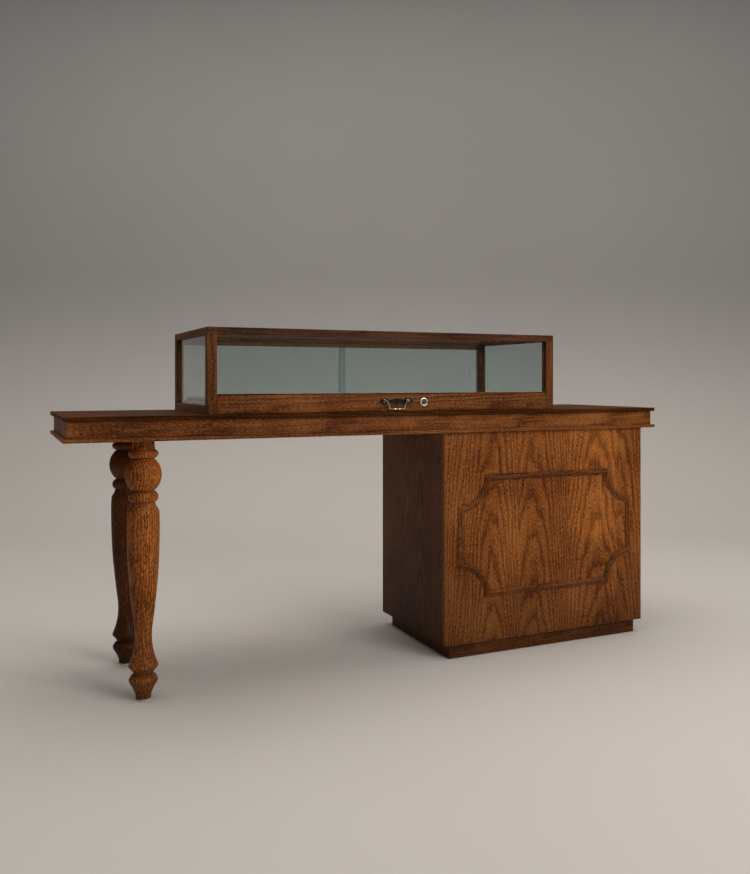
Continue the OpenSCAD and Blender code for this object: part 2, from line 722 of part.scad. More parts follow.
module glass_front() color("lightcyan", 0.4)
    block([cin_x0 - groove + glass_fit, glass_y, sill_z1],
        [cin_x1 + groove - glass_fit, glass_y + glass_t, rail_z + groove - glass_fit]);
module glass_sides() color("lightcyan", 0.4) both_x(case_x)
    block([glass_x, cin_y0 - side_reach + glass_fit, base_z - groove],
        [glass_x + glass_t, cin_y1 + side_reach - glass_fit, rail_z + groove - glass_fit]);
module glass_top() color("lightcyan", 0.4)
    block([reb_x0 + fit, reb_y0 + fit, rebate_z], [reb_x1 - fit, reb_y1 - fit, rebate_z + glass_t]);

// An outline in Y and Z drawn out along X, and one in X and Z drawn out along Y
module along_x(x0, x1)
    translate([x0, 0, 0]) rotate([90, 0, 90]) linear_extrude(height = x1 - x0) children();
module along_y(y0, y1)
    translate([0, y1, 0]) rotate([90, 0, 0]) linear_extrude(height = y1 - y0) children();

// Double channel with its web below (up = 1) or above (up = -1)
module channel(z, depth, up) {
    h = track_web + depth;
    z0 = up > 0 ? z : z - h;
    difference() {
        translate([track_y0, z0]) square([track_w, h]);
        for (i = [0, 1])
            translate([track_y0 + track_wall + i*(lane + track_wall), up > 0 ? z + track_web : z0 - past])
                square([lane, depth + past]);
    }
}
module door_tracks() color(bronze) {
    along_x(cin_x0, cin_x1) channel(base_z, track_low, 1);
    along_x(cin_x0, cin_x1) channel(rail_z, track_high, -1);
}

// A sliding pane from x0, in the lane that starts at y, with a ground recess at x for the finger
module pane(x0, y, x) {
    z = (pane_z0 + pane_z1)/2;
    half = (grip_l - grip_h)/2;
    difference() {
        block([x0, y, pane_z0], [x0 + pane_w, y + glass_t, pane_z1]);
        for (s = [-1, 1]) bar_y(x, z + s*half, y + glass_t - grip_t, y + glass_t + 1, grip_h/2);
        block([x - grip_h/2, y + glass_t - grip_t, z - half], [x + grip_h/2, y + glass_t + 1, z + half]);
    }
}
module glass_door_left() color("lightcyan", 0.4) pane(cin_x0 + fit, lane_inner, cin_x0 + grip_in);
module glass_door_right() color("lightcyan", 0.4) pane(cin_x1 - fit - pane_w, lane_outer, cin_x1 - grip_in);

module deck_board() color(wood_dark) difference() {
    block([deck_x0, deck_y0, base_z], [2*case_x - deck_x0, track_y0 - fit, deck_z1]);
    both_x(case_x) block([case_x0, cin_y1 - fit, base_z - 1], [cin_x0 + fit, case_y1, deck_z1 + 1]);
}

// Display pad: a fabric-covered cushion with drawn-in sides and a soft crown
function pad_ring(d, z) = [for (q = [0:3]) for (a = [0:18:90])
    let (r = max(4, pad_corner - d), sx = q == 0 || q == 3 ? 1 : -1, sy = q < 2 ? 1 : -1)
    [(pad_x0 + pad_x1)/2 + sx*((pad_x1 - pad_x0)/2 - d - r) + r*cos(90*q + a),
     (pad_y0 + pad_y1)/2 + sy*((pad_y1 - pad_y0)/2 - d - r) + r*sin(90*q + a), z]];
module display_pad() color(velvet) {
    n = 24;
    m = len(pad_rings);
    polyhedron(
        points = [for (k = pad_rings) each pad_ring(k[0], deck_z1 + pad_t*k[1])],
        faces = concat(
            [[for (i = [0:n - 1]) i]],
            [for (k = [0:m - 2]) for (i = [0:n - 1]) [k*n + i, (k + 1)*n + i, (k + 1)*n + (i + 1)%n]],
            [for (k = [0:m - 2]) for (i = [0:n - 1]) [k*n + i, (k + 1)*n + (i + 1)%n, k*n + (i + 1)%n]],
            [[for (i = [0:n - 1]) (m - 1)*n + n - 1 - i]]));
}

// Drawer: a shallow lined tray behind a thick front, on two slides
module drawer_front() color(wood) difference() {
    block([cin_x0 + front_end_gap, case_y0, front_z0], [cin_x1 - front_end_gap, front_back, front_z1]);
    for (s = [-1, 1])
        bar_y(case_x + s*pull_span/2, pivot_z, case_y0 - past, front_back + past, pull_screw_r + bore);
    bar_y(keyhole_x, keyhole_z, case_y0 - past, front_back + past, lock_barrel_r + bore);
}
module drawer_walls() color("tan") {
    both_x(case_x) difference() {
        block([box_x0, front_back, box_z0], [box_x0 + drawer_side_t, box_y1, box_z1]);
        block([bottom_x0, front_back - past, groove_z0],
            [box_x0 + drawer_side_t + past, box_y1 + past, groove_z1]);
    }
    difference() {
        block([box_x0 + drawer_side_t + glue, box_y1 - drawer_side_t, box_z0],
            [box_x1 - drawer_side_t - glue, box_y1, box_z1]);
        block([box_x0, box_y1 - drawer_side_t - past, groove_z0], [box_x1, bottom_y1, groove_z1]);
    }
}
module drawer_bottom() color("tan")
    block([bottom_x0 + bore, front_back, bottom_z0],
        [2*case_x - bottom_x0 - bore, bottom_y1 - bore, bottom_z0 + drawer_bottom_t]);
module drawer_liner() color(velvet)
    block([box_x0 + drawer_side_t + fit, front_back + fit, liner_z1 - liner_t],
        [box_x1 - drawer_side_t - fit, box_y1 - drawer_side_t - fit, liner_z1]);

module slides_fixed() color(steel) both_x(case_x) along_y(cin_y0 + 1, cin_y0 + 1 + slide_l)
    translate([cin_x0, slide_z - slide_h/2]) difference() {
        square([slide_flange, slide_h]);
        translate([slide_wall, slide_wall]) square([slide_flange, slide_h - 2*slide_wall]);
    }
module slides_moving() color(steel) both_x(case_x) along_y(front_back + 1, front_back + 1 + slide_l)
    translate([cin_x0, slide_z]) {
        head = slide_h/2 - slide_wall - fit;
        translate([slide_wall + 1.5, -head]) square([slide_wall, 2*head]);
        translate([slide_wall + 2, -2]) square([slide_room - slide_wall - 2, 4]);
        translate([slide_room - slide_wall, -6]) square([slide_wall, 12]);
    }

// Drop-bail pull
module plate_outline() {
    square([pull_span, 14], center = true);
    circle(r = plate_end_r - 1);
    for (s = [0, 1]) mirror([s, 0]) {
        translate([pull_span/2, 0]) circle(r = plate_end_r);
        polygon([[pull_span/2 + plate_end_r - 3, -7.5], [pull_span/2 + plate_end_r + plate_tip, 0],
            [pull_span/2 + plate_end_r - 3, 7.5]]);
    }
}
module pull_plate() color(bronze) along_y(case_y0 - plate_t, case_y0) translate([case_x, pivot_z])
    difference() {
        plate_outline();
        for (s = [-1, 1]) {
            for (t = [-1, 1]) translate([s*pull_span/4, t*15]) circle(r = 9);
            translate([s*pull_span/2, 0]) circle(r = pull_screw_r + bore);
        }
    }

// Turned post: stud, collar, neck and a ball that the bail's end turns in
module pull_post(x) {
    reach = case_y0 - plate_t - pivot_y;
    neck = eye_r - 1.2;
    difference() {
        translate([x, case_y0 - plate_t, pivot_z]) rotate([90, 0, 0]) rotate_extrude() polygon(concat(
            [[0, -plate_t - front_t - pull_nut_t - 1], [pull_screw_r, -plate_t - front_t - pull_nut_t - 1],
                [pull_screw_r, 0], [eye_r + 1.2, 0], [eye_r + 1.2, collar_t], [neck, collar_t + 1]],
            [for (a = [-47.5:19:76]) [eye_r*cos(a), reach + eye_r*sin(a)]],
            [[0, reach + eye_r]]));
        bar_x(x - 10, x + 10, pivot_y, pivot_z, bail_pin_r + pivot_fit);
    }
    difference() {
        bar_y(x, pivot_z, front_back, front_back + pull_nut_t, 2*pull_screw_r);
        bar_y(x, pivot_z, front_back - past, front_back + pull_nut_t + past, pull_screw_r + bore);
    }
}
module pull_posts() color(bronze) for (s = [-1, 1]) pull_post(case_x + s*pull_span/2);

// A round rod between two points of the plane Y = pivot_y
module rod(a, b, r) {
    d = [b[0] - a[0], b[1] - a[1]];
    translate([a[0], pivot_y, a[1]]) rotate([0, atan2(d[0], d[1]), 0]) cylinder(h = norm(d), r = r);
}
module bail() color(bronze) {
    hx = pull_span/2 - eye_r - run - bail_r;
    low = bail_low_w/2;
    z1 = pivot_z - bail_drop;
    bead_x = 6;
    bead_w = 3;
    union() {
        both_x(case_x) {
            bar_x(case_x + hx, case_x + pull_span/2 + eye_r - run, pivot_y, pivot_z, bail_pin_r);
            rod([case_x + hx, pivot_z], [case_x + low, z1], bail_r);
            translate([case_x + hx, pivot_y, pivot_z]) sphere(r = bail_r + 0.15);
            translate([case_x + low, pivot_y, z1]) sphere(r = bail_r + 0.15);
            bar_x(case_x + bead_x, case_x + bead_x + bead_w, pivot_y, z1, bail_r + 0.8);
        }
        bar_x(case_x - low, case_x + low, pivot_y, z1, bail_r);
    }
}

// Cam lock
module lock_axis() translate([keyhole_x, case_y0, keyhole_z]) rotate([90, 0, 0]) children();
module lock_body() color(nickel) {
    r0 = lock_plug_r + 0.06;
    lock_axis() rotate_extrude($fn = 64) polygon([[r0, -barrel_l], [lock_barrel_r, -barrel_l],
        [lock_barrel_r, 0], [lock_flange_r, 0], [lock_flange_r, 1.2],
        [lock_flange_r - 1.3, lock_flange_t], [lock_flange_r - 3, lock_flange_t],
        [r0 + 1.4, plug_face], [r0, plug_face]]);
    lock_axis() translate([0, 0, -front_t - lock_nut_t]) difference() {
        cylinder(h = lock_nut_t, r = lock_nut_w/sqrt(3), $fn = 6);
        translate([0, 0, -1]) cylinder(h = lock_nut_t + 2, r = lock_barrel_r + bore);
    }
}
module lock_plug() color(nickel) lock_axis() difference() {
    union() {
        translate([0, 0, -barrel_l]) cylinder(h = barrel_l + plug_face, r = lock_plug_r);
        translate([0, 0, -barrel_l - cam_t - clip_t - 0.6]) cylinder(h = cam_t + clip_t + 1, r = stub_r);
    }
    translate([-0.8, -4, plug_face - 12]) cube([1.6, 8, 13]);
}
module lock_cam() color(steel) {
    lock_axis() translate([0, 0, -barrel_l - 0.2 - cam_t]) difference() {
        union() {
            cylinder(h = cam_t, r = cam_w/2);
            translate([0, -cam_w/2, 0]) cube([cam_reach, cam_w, cam_t]);
        }
        translate([0, 0, -1]) cylinder(h = cam_t + 2, r = stub_r + 0.03);
    }
    lock_axis() translate([0, 0, -barrel_l - 0.2 - cam_t - glue - clip_t]) difference() {
        cylinder(h = clip_t, r = stub_r + 2);
        translate([0, 0, -1]) cylinder(h = clip_t + 2, r = stub_r + 0.03);
    }
}

top_board();
bottom_board();
apron_front();
apron_back();
apron_ends();
cross_ribs();
leg_blocks();
leg_front();
leg_rear();
leg_studs();
leg_glides();
cabinet_front();
panel_moulding();
cabinet_side_left();
cabinet_side_right();
cabinet_top();
cabinet_floor();
shelf();
shelf_pins();
plinth_boards();
cabinet_bolts();
tee_nuts();
cabinet_door_left();
cabinet_door_right();
hinge_leaves_fixed();
hinge_leaves_left();
hinge_leaves_right();
hinge_pins();
knob_left();
knob_right();
magnet_catches();
strike_left();
strike_right();
case_posts();
top_rail_front();
top_rail_back();
top_rails_side();
base_rails_side();
base_rail_back();
front_sill();
glass_front();
glass_sides();
glass_top();
door_tracks();
glass_door_left();
glass_door_right();
deck_board();
display_pad();
drawer_front();
drawer_walls();
drawer_bottom();
drawer_liner();
slides_fixed();
slides_moving();
pull_plate();
pull_posts();
bail();
lock_body();
lock_plug();
lock_cam();
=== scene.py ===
import bmesh
import bpy
import math
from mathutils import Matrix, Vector


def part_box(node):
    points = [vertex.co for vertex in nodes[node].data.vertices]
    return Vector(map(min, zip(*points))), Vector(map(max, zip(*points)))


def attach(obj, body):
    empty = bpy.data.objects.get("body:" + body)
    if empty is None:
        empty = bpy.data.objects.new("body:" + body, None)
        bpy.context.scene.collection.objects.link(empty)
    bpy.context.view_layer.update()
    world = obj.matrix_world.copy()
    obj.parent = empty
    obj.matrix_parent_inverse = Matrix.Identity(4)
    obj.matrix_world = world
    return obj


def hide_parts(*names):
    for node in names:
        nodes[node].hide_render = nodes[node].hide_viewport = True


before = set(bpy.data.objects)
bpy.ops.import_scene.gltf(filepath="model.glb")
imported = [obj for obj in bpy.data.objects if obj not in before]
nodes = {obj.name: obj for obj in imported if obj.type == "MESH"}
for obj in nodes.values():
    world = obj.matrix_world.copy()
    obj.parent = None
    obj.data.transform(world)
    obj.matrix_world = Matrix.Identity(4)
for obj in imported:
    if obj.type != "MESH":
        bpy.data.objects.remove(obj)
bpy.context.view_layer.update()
scene = bpy.context.scene
scene.view_settings.view_transform = "Standard"

# The view: the counter seen from its front left, at the height of the showcase's middle, with the
# camera held level and the frame shifted down to take in the floor.
view_turn = math.radians(24.3)
camera = bpy.data.objects.new("camera", bpy.data.cameras.new("camera"))
scene.collection.objects.link(camera)
camera.data.sensor_width = 36.0
camera.data.lens = 35.34
camera.data.shift_y = -0.064
camera.location = (-1.1803, -2.6417, 0.8952)
camera.rotation_euler = (math.radians(90), 0, -view_turn)
camera.data.clip_end = 60
scene.camera = camera


# The studio: a pale painted floor that sweeps up into a plain backdrop behind the counter. The sweep
# is one smooth sheet, rolled down from a bar, with a faint mottling from its matt paint.
def wire(tree, kind, inputs=(), **settings):
    """A node with its settings, and its inputs given as values or as the sockets that feed them."""
    node = tree.nodes.new(kind)
    for name, value in settings.items():
        setattr(node, name, value)
    for socket, value in dict(inputs).items():
        if isinstance(value, bpy.types.NodeSocket):
            tree.links.new(value, node.inputs[socket])
        elif value is not None:
            node.inputs[socket].default_value = value
    return node


def calc(tree, sign, a, b=None):
    """The output of a maths node, its sign one of + - * / or the name of another operation."""
    named = {"+": "ADD", "-": "SUBTRACT", "*": "MULTIPLY", "/": "DIVIDE"}.get(sign, sign)
    return wire(tree, "ShaderNodeMath", {0: a} if b is None else {0: a, 1: b}, operation=named).outputs[0]


def noise(tree, place, scale, detail, roughness=None):
    """A cloudy pattern at a place, from 0 to 1."""
    return wire(tree, "ShaderNodeTexNoise", {"Vector": place, "Scale": scale, "Detail": detail,
                                             "Roughness": roughness}).outputs["Fac"]


def remap(tree, value, low=0.0, high=1.0, to_low=0.0, to_high=1.0):
    """A value between low and high, as one between to_low and to_high."""
    return wire(tree, "ShaderNodeMapRange", {"Value": value, "From Min": low, "From Max": high,
                                             "To Min": to_low, "To Max": to_high}).outputs[0]


def ramp(tree, value, stops, interpolation="LINEAR"):
    """The colour at a value on a ramp, from its two ends and then the stops between them."""
    node = wire(tree, "ShaderNodeValToRGB", {0: value})
    node.color_ramp.interpolation = interpolation
    for i, (spot, colour) in enumerate(stops):
        stop = node.color_ramp.elements[i] if i < 2 else node.color_ramp.elements.new(spot)
        stop.position = spot
        stop.color = (*colour, 1)
    return node.outputs["Color"]


def mixed(tree, factor, a, b, **settings):
    """The mix of two colours, each a socket or three numbers."""
    a, b = (c if isinstance(c, bpy.types.NodeSocket) else (*c, 1) for c in (a, b))
    return wire(tree, "ShaderNodeMix", {"Factor": factor, "A": a, "B": b}, data_type="RGBA",
                **settings).outputs["Result"]


def coat(tree, shader, colour, roughness, relief=None, strength=0.0, depth=0.0):
    """Feed the shader its colour, its roughness and its relief, whose depth is in metres."""
    tree.links.new(colour, shader.inputs["Base Color"])
    tree.links.new(roughness, shader.inputs["Roughness"])
    if relief is not None:
        bump = wire(tree, "ShaderNodeBump", {"Height": relief, "Strength": strength, "Distance": depth})
        tree.links.new(bump.outputs[0], shader.inputs["Normal"])


def new_material(name):
    """A new material, its nodes, its shader, and the place in the piece that its patterns follow."""
    material = bpy.data.materials.new(name)
    material.use_nodes = True
    tree = material.node_tree
    return material, tree, tree.nodes["Principled BSDF"], wire(tree, "ShaderNodeTexCoord").outputs["Object"]


def new_piece(name, bm):
    """A new object with the mesh that was built in bm."""
    piece = bpy.data.objects.new(name, bpy.data.meshes.new(name))
    bm.to_mesh(piece.data)
    bm.free()
    scene.collection.objects.link(piece)
    return piece


floor_near, floor_far, sweep_r, backdrop_top, sweep_half = -7.0, 1.9, 1.7, 6.5, 9.0
backdrop_at = floor_far + sweep_r
sweep_run = [(floor_near, 0.0), (floor_far, 0.0)]
for a in range(6, 91, 6):
    sweep_run.append((floor_far + sweep_r * math.sin(math.radians(a)),
                      sweep_r - sweep_r * math.cos(math.radians(a))))
sweep_run.append((backdrop_at, backdrop_top))
away = Vector((math.sin(view_turn), math.cos(view_turn), 0.0))
aside = Vector((away.y, -away.x, 0.0))
bm = bmesh.new()
rows = [[bm.verts.new(away * d + aside * s + Vector((0, 0, z))) for s in (-sweep_half, sweep_half)]
        for d, z in sweep_run]
for low, high in zip(rows, rows[1:]):
    bm.faces.new((low[0], low[1], high[1], high[0])).smooth = True
sweep = new_piece("studio_sweep", bm)
paint, tree, shader, place = new_material("studio_paint")
shader.inputs["Roughness"].default_value = 0.9
shader.inputs["Specular IOR Level"].default_value = 0.2
floor_paint, wall_paint = (0.56, 0.525, 0.492), (0.318, 0.305, 0.298)
height = remap(tree, wire(tree, "ShaderNodeSeparateXYZ", {0: place}).outputs["Z"], 0.0, 4.0)
fade = ramp(tree, height, ((0.0, floor_paint), (0.45, wall_paint)), "EASE")
mottled = mixed(tree, 0.12, fade, noise(tree, place, 0.6, 3.0), blend_type="SOFT_LIGHT")
tree.links.new(mottled, shader.inputs["Base Color"])
sweep.data.materials.append(paint)

# The light: a wide soft box high at the front right as the key, a weak fill at the left, a large
# soft box under the ceiling, and a long strip that washes the backdrop.
world = bpy.data.worlds.new("studio")
scene.world = world
world.use_nodes = True
world.node_tree.nodes["Background"].inputs["Color"].default_value = (1.0, 0.98, 0.96, 1)
world.node_tree.nodes["Background"].inputs["Strength"].default_value = 0.045
strip_spot = tuple(away * 0.8 + Vector((0, 0, 5.0)))
strip_aim = tuple(away * backdrop_at + Vector((0, 0, 2.2)))
# Each lamp's name, place, aim, width and height, power in watts, and turn round its own axis
for name, spot, aim, size, watts, turn in (
    ("key_box", (1.45, -3.5, 2.5), (0.1, 0.0, 0.5), (1.8, 1.8), 69.0, 0.0),
    ("fill_box", (-3.6, -3.0, 2.2), (0.0, 0.0, 0.6), (2.4, 2.4), 2.0, 0.0),
    ("ceiling_box", (0.0, 0.1, 4.2), (0.0, 0.1, 0.0), (7.0, 4.4), 188.0, -view_turn),
    ("backdrop_box", strip_spot, strip_aim, (10.0, 1.0), 34.0, 0.0),
):
    lamp = bpy.data.lights.new(name, "AREA")
    lamp.shape = "RECTANGLE"
    lamp.size, lamp.size_y = size
    lamp.energy = watts
    lamp.color = (1.0, 0.97, 0.93)
    holder = bpy.data.objects.new(name, lamp)
    holder.location = spot
    holder.rotation_euler = (Vector(aim) - Vector(spot)).to_track_quat("-Z", "Y").to_euler()
    holder.rotation_euler.rotate_axis("Z", turn)
    scene.collection.objects.link(holder)

# The counter top: a hollow box of solid oak boards, stained brown and lacquered satin. Two thin boards
# stand out as lips above and below an apron that is set back 10 mm all round, glued and pinned.
axis_of = {"X": 0, "Y": 1, "Z": 2}
dark_stain, middle_stain, pale_stain = (0.074, 0.0155, 0.0012), (0.2, 0.056, 0.0075), (0.41, 0.146, 0.034)
pore_stain, rubbed_stain = (0.022, 0.0065, 0.0012), (0.36, 0.14, 0.036)
ring_width, ring_waver, pith_nearest, pith_spread = 0.0068, 0.022, 0.035, 0.11
# Painted shade towards the floor: the height in metres where it is darkest, the height where it ends, and the
# share of light the stain keeps at its darkest
shade_low, shade_high, darkest_shade = 0.05, 0.42, 0.4
# The oak's patterns: each one's steps per metre across and along the fibres, and its share in the stain
bend_steps, pore_steps, streak_steps, fleck_steps = (9.0, 3.2), (900.0, 34.0), (210.0, 5.0), (460.0, 105.0)
early_share, streak_share, fleck_share, cloud_share = -0.19, 0.6, 1.35, 0.6
pore_gate, early_opens, gate_width, pore_share, wear_share = 0.635, 0.075, 0.09, 0.7, 0.45


def stretched(tree, across, deep, along, fine, coarse):
    """A place in the wood, with fine steps across the fibres and coarse ones along them."""
    return wire(tree, "ShaderNodeCombineXYZ", {0: calc(tree, "*", across, fine), 1: calc(tree, "*", deep, fine),
                                               2: calc(tree, "*", along, coarse)}).outputs[0]


def dimmed(tree, colour, share):
    """A colour with its light scaled by share."""
    return wire(tree, "ShaderNodeVectorMath", {0: colour, "Scale": share}, operation="SCALE").outputs[0]


def worn_edge(tree):
    """1 on the faces that count as worn and 0 on the others."""
    return wire(tree, "ShaderNodeAttribute", attribute_name="edge_wear").outputs["Fac"]


def stained_oak(name, grain, face, at, stave, tone, slant, seed, gloss=0.14):
    """Brown stained oak cut from boards. grain is the axis that the fibres run along, face the axis
    that the broad face looks along, at a point inside the board, stave the width of its glued strips,
    slant how fast the cut leaves the growth rings, which sets how long the flames of the figure are."""
    material, tree, shader, place = new_material(name)
    g, f = axis_of[grain], axis_of[face]
    w = 3 - g - f
    point = wire(tree, "ShaderNodeSeparateXYZ", {0: place}).outputs
    along, deep, across = (calc(tree, "-", point[axis], at[axis]) for axis in (g, f, w))
    # Glued strips: each has its own stretch of the tree and its own tone
    strip = calc(tree, "/", across, stave)
    own = wire(tree, "ShaderNodeTexWhiteNoise", {"W": calc(tree, "+", calc(tree, "FLOOR", strip), seed + 0.37)},
               noise_dimensions="1D").outputs["Color"]
    chance = wire(tree, "ShaderNodeSeparateColor", {0: own}).outputs
    local = calc(tree, "*", calc(tree, "-", calc(tree, "FRACT", strip), 0.5), stave)
    local = calc(tree, "+", local, calc(tree, "*", calc(tree, "-", chance[0], 0.5), stave * 1.5))
    shifted = calc(tree, "+", along, calc(tree, "*", chance[1], 3.0))
    # Growth rings round a pith that bends slowly with the stem, dark where the early wood is
    bend = noise(tree, stretched(tree, local, deep, shifted, *bend_steps), 1.0, 3.0, 0.55)
    pith = calc(tree, "+", calc(tree, "+", pith_nearest, calc(tree, "*", chance[2], pith_spread)),
                calc(tree, "+", deep, calc(tree, "*", shifted, slant)))
    reach = calc(tree, "SQRT", calc(tree, "+", calc(tree, "*", local, local), calc(tree, "*", pith, pith)))
    ring = calc(tree, "/", calc(tree, "+", reach, calc(tree, "*", bend, ring_waver)), ring_width)
    levels = ((0.0, 0.75), (0.16, 1.0), (0.42, 0.35), (0.72, 0.0), (0.93, 0.25))
    early = ramp(tree, calc(tree, "FRACT", ring), [(spot, (level,) * 3) for spot, level in levels], "EASE")
    # Open pores: short dark scratches along the fibres, thick in the early wood
    grainy = noise(tree, stretched(tree, across, deep, shifted, *pore_steps), 1.0, 2.0)
    streaky = noise(tree, stretched(tree, across, deep, shifted, *streak_steps), 1.0, 3.0, 0.6)
    gate = calc(tree, "-", pore_gate, calc(tree, "*", early, early_opens))
    pore = remap(tree, grainy, gate, calc(tree, "+", gate, gate_width))
    # Stain: dark in the pores and the early wood, warm on the late wood
    cloud = noise(tree, place, 4.5, 3.0)
    fleck = noise(tree, stretched(tree, across, deep, shifted, *fleck_steps), 1.0, 2.0)
    body = calc(tree, "+", calc(tree, "*", early, early_share), calc(tree, "*", streaky, streak_share))
    for pattern, share in ((fleck, fleck_share), (cloud, cloud_share)):
        body = calc(tree, "+", body, calc(tree, "*", calc(tree, "-", pattern, 0.5), share))
    stain = ramp(tree, body, [(spot, [c * tone for c in colour]) for spot, colour in
                              ((0.0, dark_stain), (0.5, pale_stain), (0.2, middle_stain))])
    toned = dimmed(tree, stain, remap(tree, chance[1], to_low=0.82, to_high=1.14))
    pored = mixed(tree, calc(tree, "*", pore, pore_share), toned, pore_stain)
    # Painted shade: nearer the floor the stain is darkened, with a cloudy edge to where it starts
    height = calc(tree, "+", point[2], calc(tree, "*", cloud, 0.08))
    floor_shaded = dimmed(tree, pored, remap(tree, height, shade_low, shade_high, darkest_shade))
    # Edges rubbed by hands and cloths are a little paler
    wear = calc(tree, "*", worn_edge(tree), remap(tree, noise(tree, place, 45.0, 4.0), 0.4, 0.62))
    worn = mixed(tree, calc(tree, "*", wear, wear_share), floor_shaded, [c * tone for c in rubbed_stain])
    matt = calc(tree, "+", calc(tree, "*", pore, 0.25), calc(tree, "*", streaky, 0.18))
    relief = calc(tree, "-", calc(tree, "*", streaky, 0.35), calc(tree, "+", pore, calc(tree, "*", early, 0.25)))
    coat(tree, shader, worn, calc(tree, "+", 0.42, matt), relief, 0.5, 0.0004)
    shader.inputs["Specular IOR Level"].default_value = gloss
    return material


def eased(node, material, width, body="counter", name=None, thin=None):
    """A copy of a CAD node's solids with its sharp edges eased, as a maker's sandpaper leaves them, and
    its round faces shaded smooth. thin is the axis through a sheet whose edge faces count as worn."""
    flat, round_low, round_high, square, crease = math.radians(1), 0.018, 0.5, math.radians(40), 0.85
    bm = bmesh.new()
    bm.from_mesh(nodes[node].data)
    wear = bm.faces.layers.float.new("edge_wear")
    bmesh.ops.remove_doubles(bm, verts=bm.verts, dist=1e-6)
    bmesh.ops.dissolve_limit(bm, angle_limit=flat, verts=bm.verts, edges=bm.edges)
    for face in bm.faces:
        face.smooth = any(len(e.link_faces) == 2 and round_low < e.calc_face_angle() < round_high
                          for e in face.edges)
        face[wear] = 1.0 if thin is not None and abs(face.normal[thin]) < 0.5 else 0.0
    if width:
        sharp = [e for e in bm.edges if len(e.link_faces) == 2 and e.is_convex and e.calc_face_angle() > square]
        made = bmesh.ops.bevel(bm, geom=sharp, offset=width, offset_type="OFFSET", segments=2, profile=0.5,
                               affect="EDGES", clamp_overlap=True)
        for face in made["faces"]:
            face.smooth = True
            face[wear] = 1.0
    for edge in bm.edges:
        edge.smooth = len(edge.link_faces) == 2 and edge.calc_face_angle() < crease
    piece = new_piece(name or node + "_wood", bm)
    piece.data.materials.append(material)
    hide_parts(node)
    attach(piece, body)
    return piece


# The top board's low tone is painted shade: it is stained far darker than the boards under it
for node, grain, face, at, stave, tone, slant, seed, gloss in (
    ("top_board", "X", "Z", (0.0, 0.0, 0.8), 0.167, 0.28, 0.035, 11.0, 0.03),
    ("bottom_board", "X", "Z", (0.0, 0.0, 0.735), 0.167, 0.85, 0.04, 23.0, 0.14),
    ("apron_front", "X", "Y", (0.0, -0.24, 0.764), 0.12, 0.9, 0.02, 31.0, 0.14),
    ("apron_back", "X", "Y", (0.0, 0.24, 0.764), 0.12, 0.92, 0.025, 47.0, 0.14),
    ("apron_ends", "Y", "X", (0.99, 0.0, 0.764), 0.12, 0.85, 0.03, 53.0, 0.14),
):
    oak = stained_oak("oak_" + node, grain, face, at, stave, tone, slant, seed, gloss)
    eased(node, oak, 0.0012)

# Inside the counter: plain birch ribs that keep the two boards apart and blocks over the legs, glued in
# and left unstained, because nobody sees them.
birch, tree, shader, place = new_material("plain_birch")
drawn_out = wire(tree, "ShaderNodeMapping", {"Vector": place, "Scale": (14.0, 120.0, 120.0)}).outputs[0]
streak = noise(tree, drawn_out, 1.0, 4.0, 0.6)
pale = ramp(tree, streak, ((0.3, (0.36, 0.22, 0.11)), (0.7, (0.56, 0.40, 0.24))))
coat(tree, shader, pale, remap(tree, streak, to_low=0.42, to_high=0.6), streak, 0.2, 0.0003)
for node in ("cross_ribs", "leg_blocks"):
    eased(node, birch, 0.0006, name=node + "_birch")


# The two legs: solid oak blanks turned on a lathe. Each has a small ball foot under a flared collar, a
# shaft that swells from a narrow waist, and a large ball between two beads; a stud holds it to the top.
def run_curve(marks, steps):
    """Points of a smooth curve through the turner's marks, without the last one."""
    out = []
    for i in range(len(marks) - 1):
        a, b, c, d = marks[max(i - 1, 0)], marks[i], marks[i + 1], marks[min(i + 2, len(marks) - 1)]
        for k in range(steps):
            t = k / steps
            out.append(tuple(0.5 * (2 * q + (r - p) * t + (2 * p - 5 * q + 4 * r - s) * t ** 2
                                    + (3 * q - p - 3 * r + s) * t ** 3) for p, q, r, s in zip(a, b, c, d)))
    return out


def run_bead(r0, r1, r2, z0, z1, steps):
    """Points of a half round bead from z0 to z1, without the last one."""
    out = []
    for k in range(steps):
        turn = math.pi * k / steps
        out.append((r0 + (r2 - r0) * k / steps + (r1 - (r0 + r2) / 2) * math.sin(turn),
                    z0 + (z1 - z0) * (1 - math.cos(turn)) / 2))
    return out


def run_ball(r0, r1, z0, z1, steps):
    """Points of a ball of radius r1 that is cut off at radius r0 at both ends, without the last one."""
    start = math.asin(r0 / r1)
    turns = [start + (math.pi - 2 * start) * k / steps for k in range(steps)]
    return [(r1 * math.sin(t), (z0 + z1) / 2 - (z1 - z0) / 2 * math.cos(t) / math.cos(start)) for t in turns]


leg_top, glide_top, foot_top, head_low = 730.0, 4.0, 94.0, 526.0
collar_r, shaft_end_r, cove_r, bead_r = 41.5, 44.2, 32.4, 41.5
bead_root_r, ball_r, cap_r, neck_r = 28.0, 50.5, 33.0, 31.0
foot_run = [(r, glide_top + (foot_top - glide_top) * s) for r, s in
            ((21.6, 0), (22.0, 0.114), (25.4, 0.227), (32.5, 0.386), (40.0, 0.545), (35.5, 0.682), (25.8, 0.768))]
flare_run = [foot_run[-1], (31.0, glide_top + (foot_top - glide_top) * 0.852), (collar_r, foot_top)]
shaft_run = [(r, foot_top + (head_low - foot_top) * s) for r, s in
             ((collar_r, 0), (29.7, 0.079), (24.3, 0.155), (24.0, 0.231), (28.7, 0.319), (35.2, 0.454),
              (40.6, 0.588), (43.9, 0.745), (45.0, 0.875), (44.9, 0.951), (shaft_end_r, 1))]
head_at = [head_low + (leg_top - head_low) * s for s in (0, 0.036, 0.083, 0.147, 0.289, 0.745, 0.858, 0.925, 1)]
cove_run = [(shaft_end_r, head_at[0]), (41.9, head_at[1]), (35.8, head_at[2]), (cove_r, head_at[3])]
neck_run = [(cap_r, head_at[6]), (neck_r, head_at[7]), (neck_r, head_at[8])]
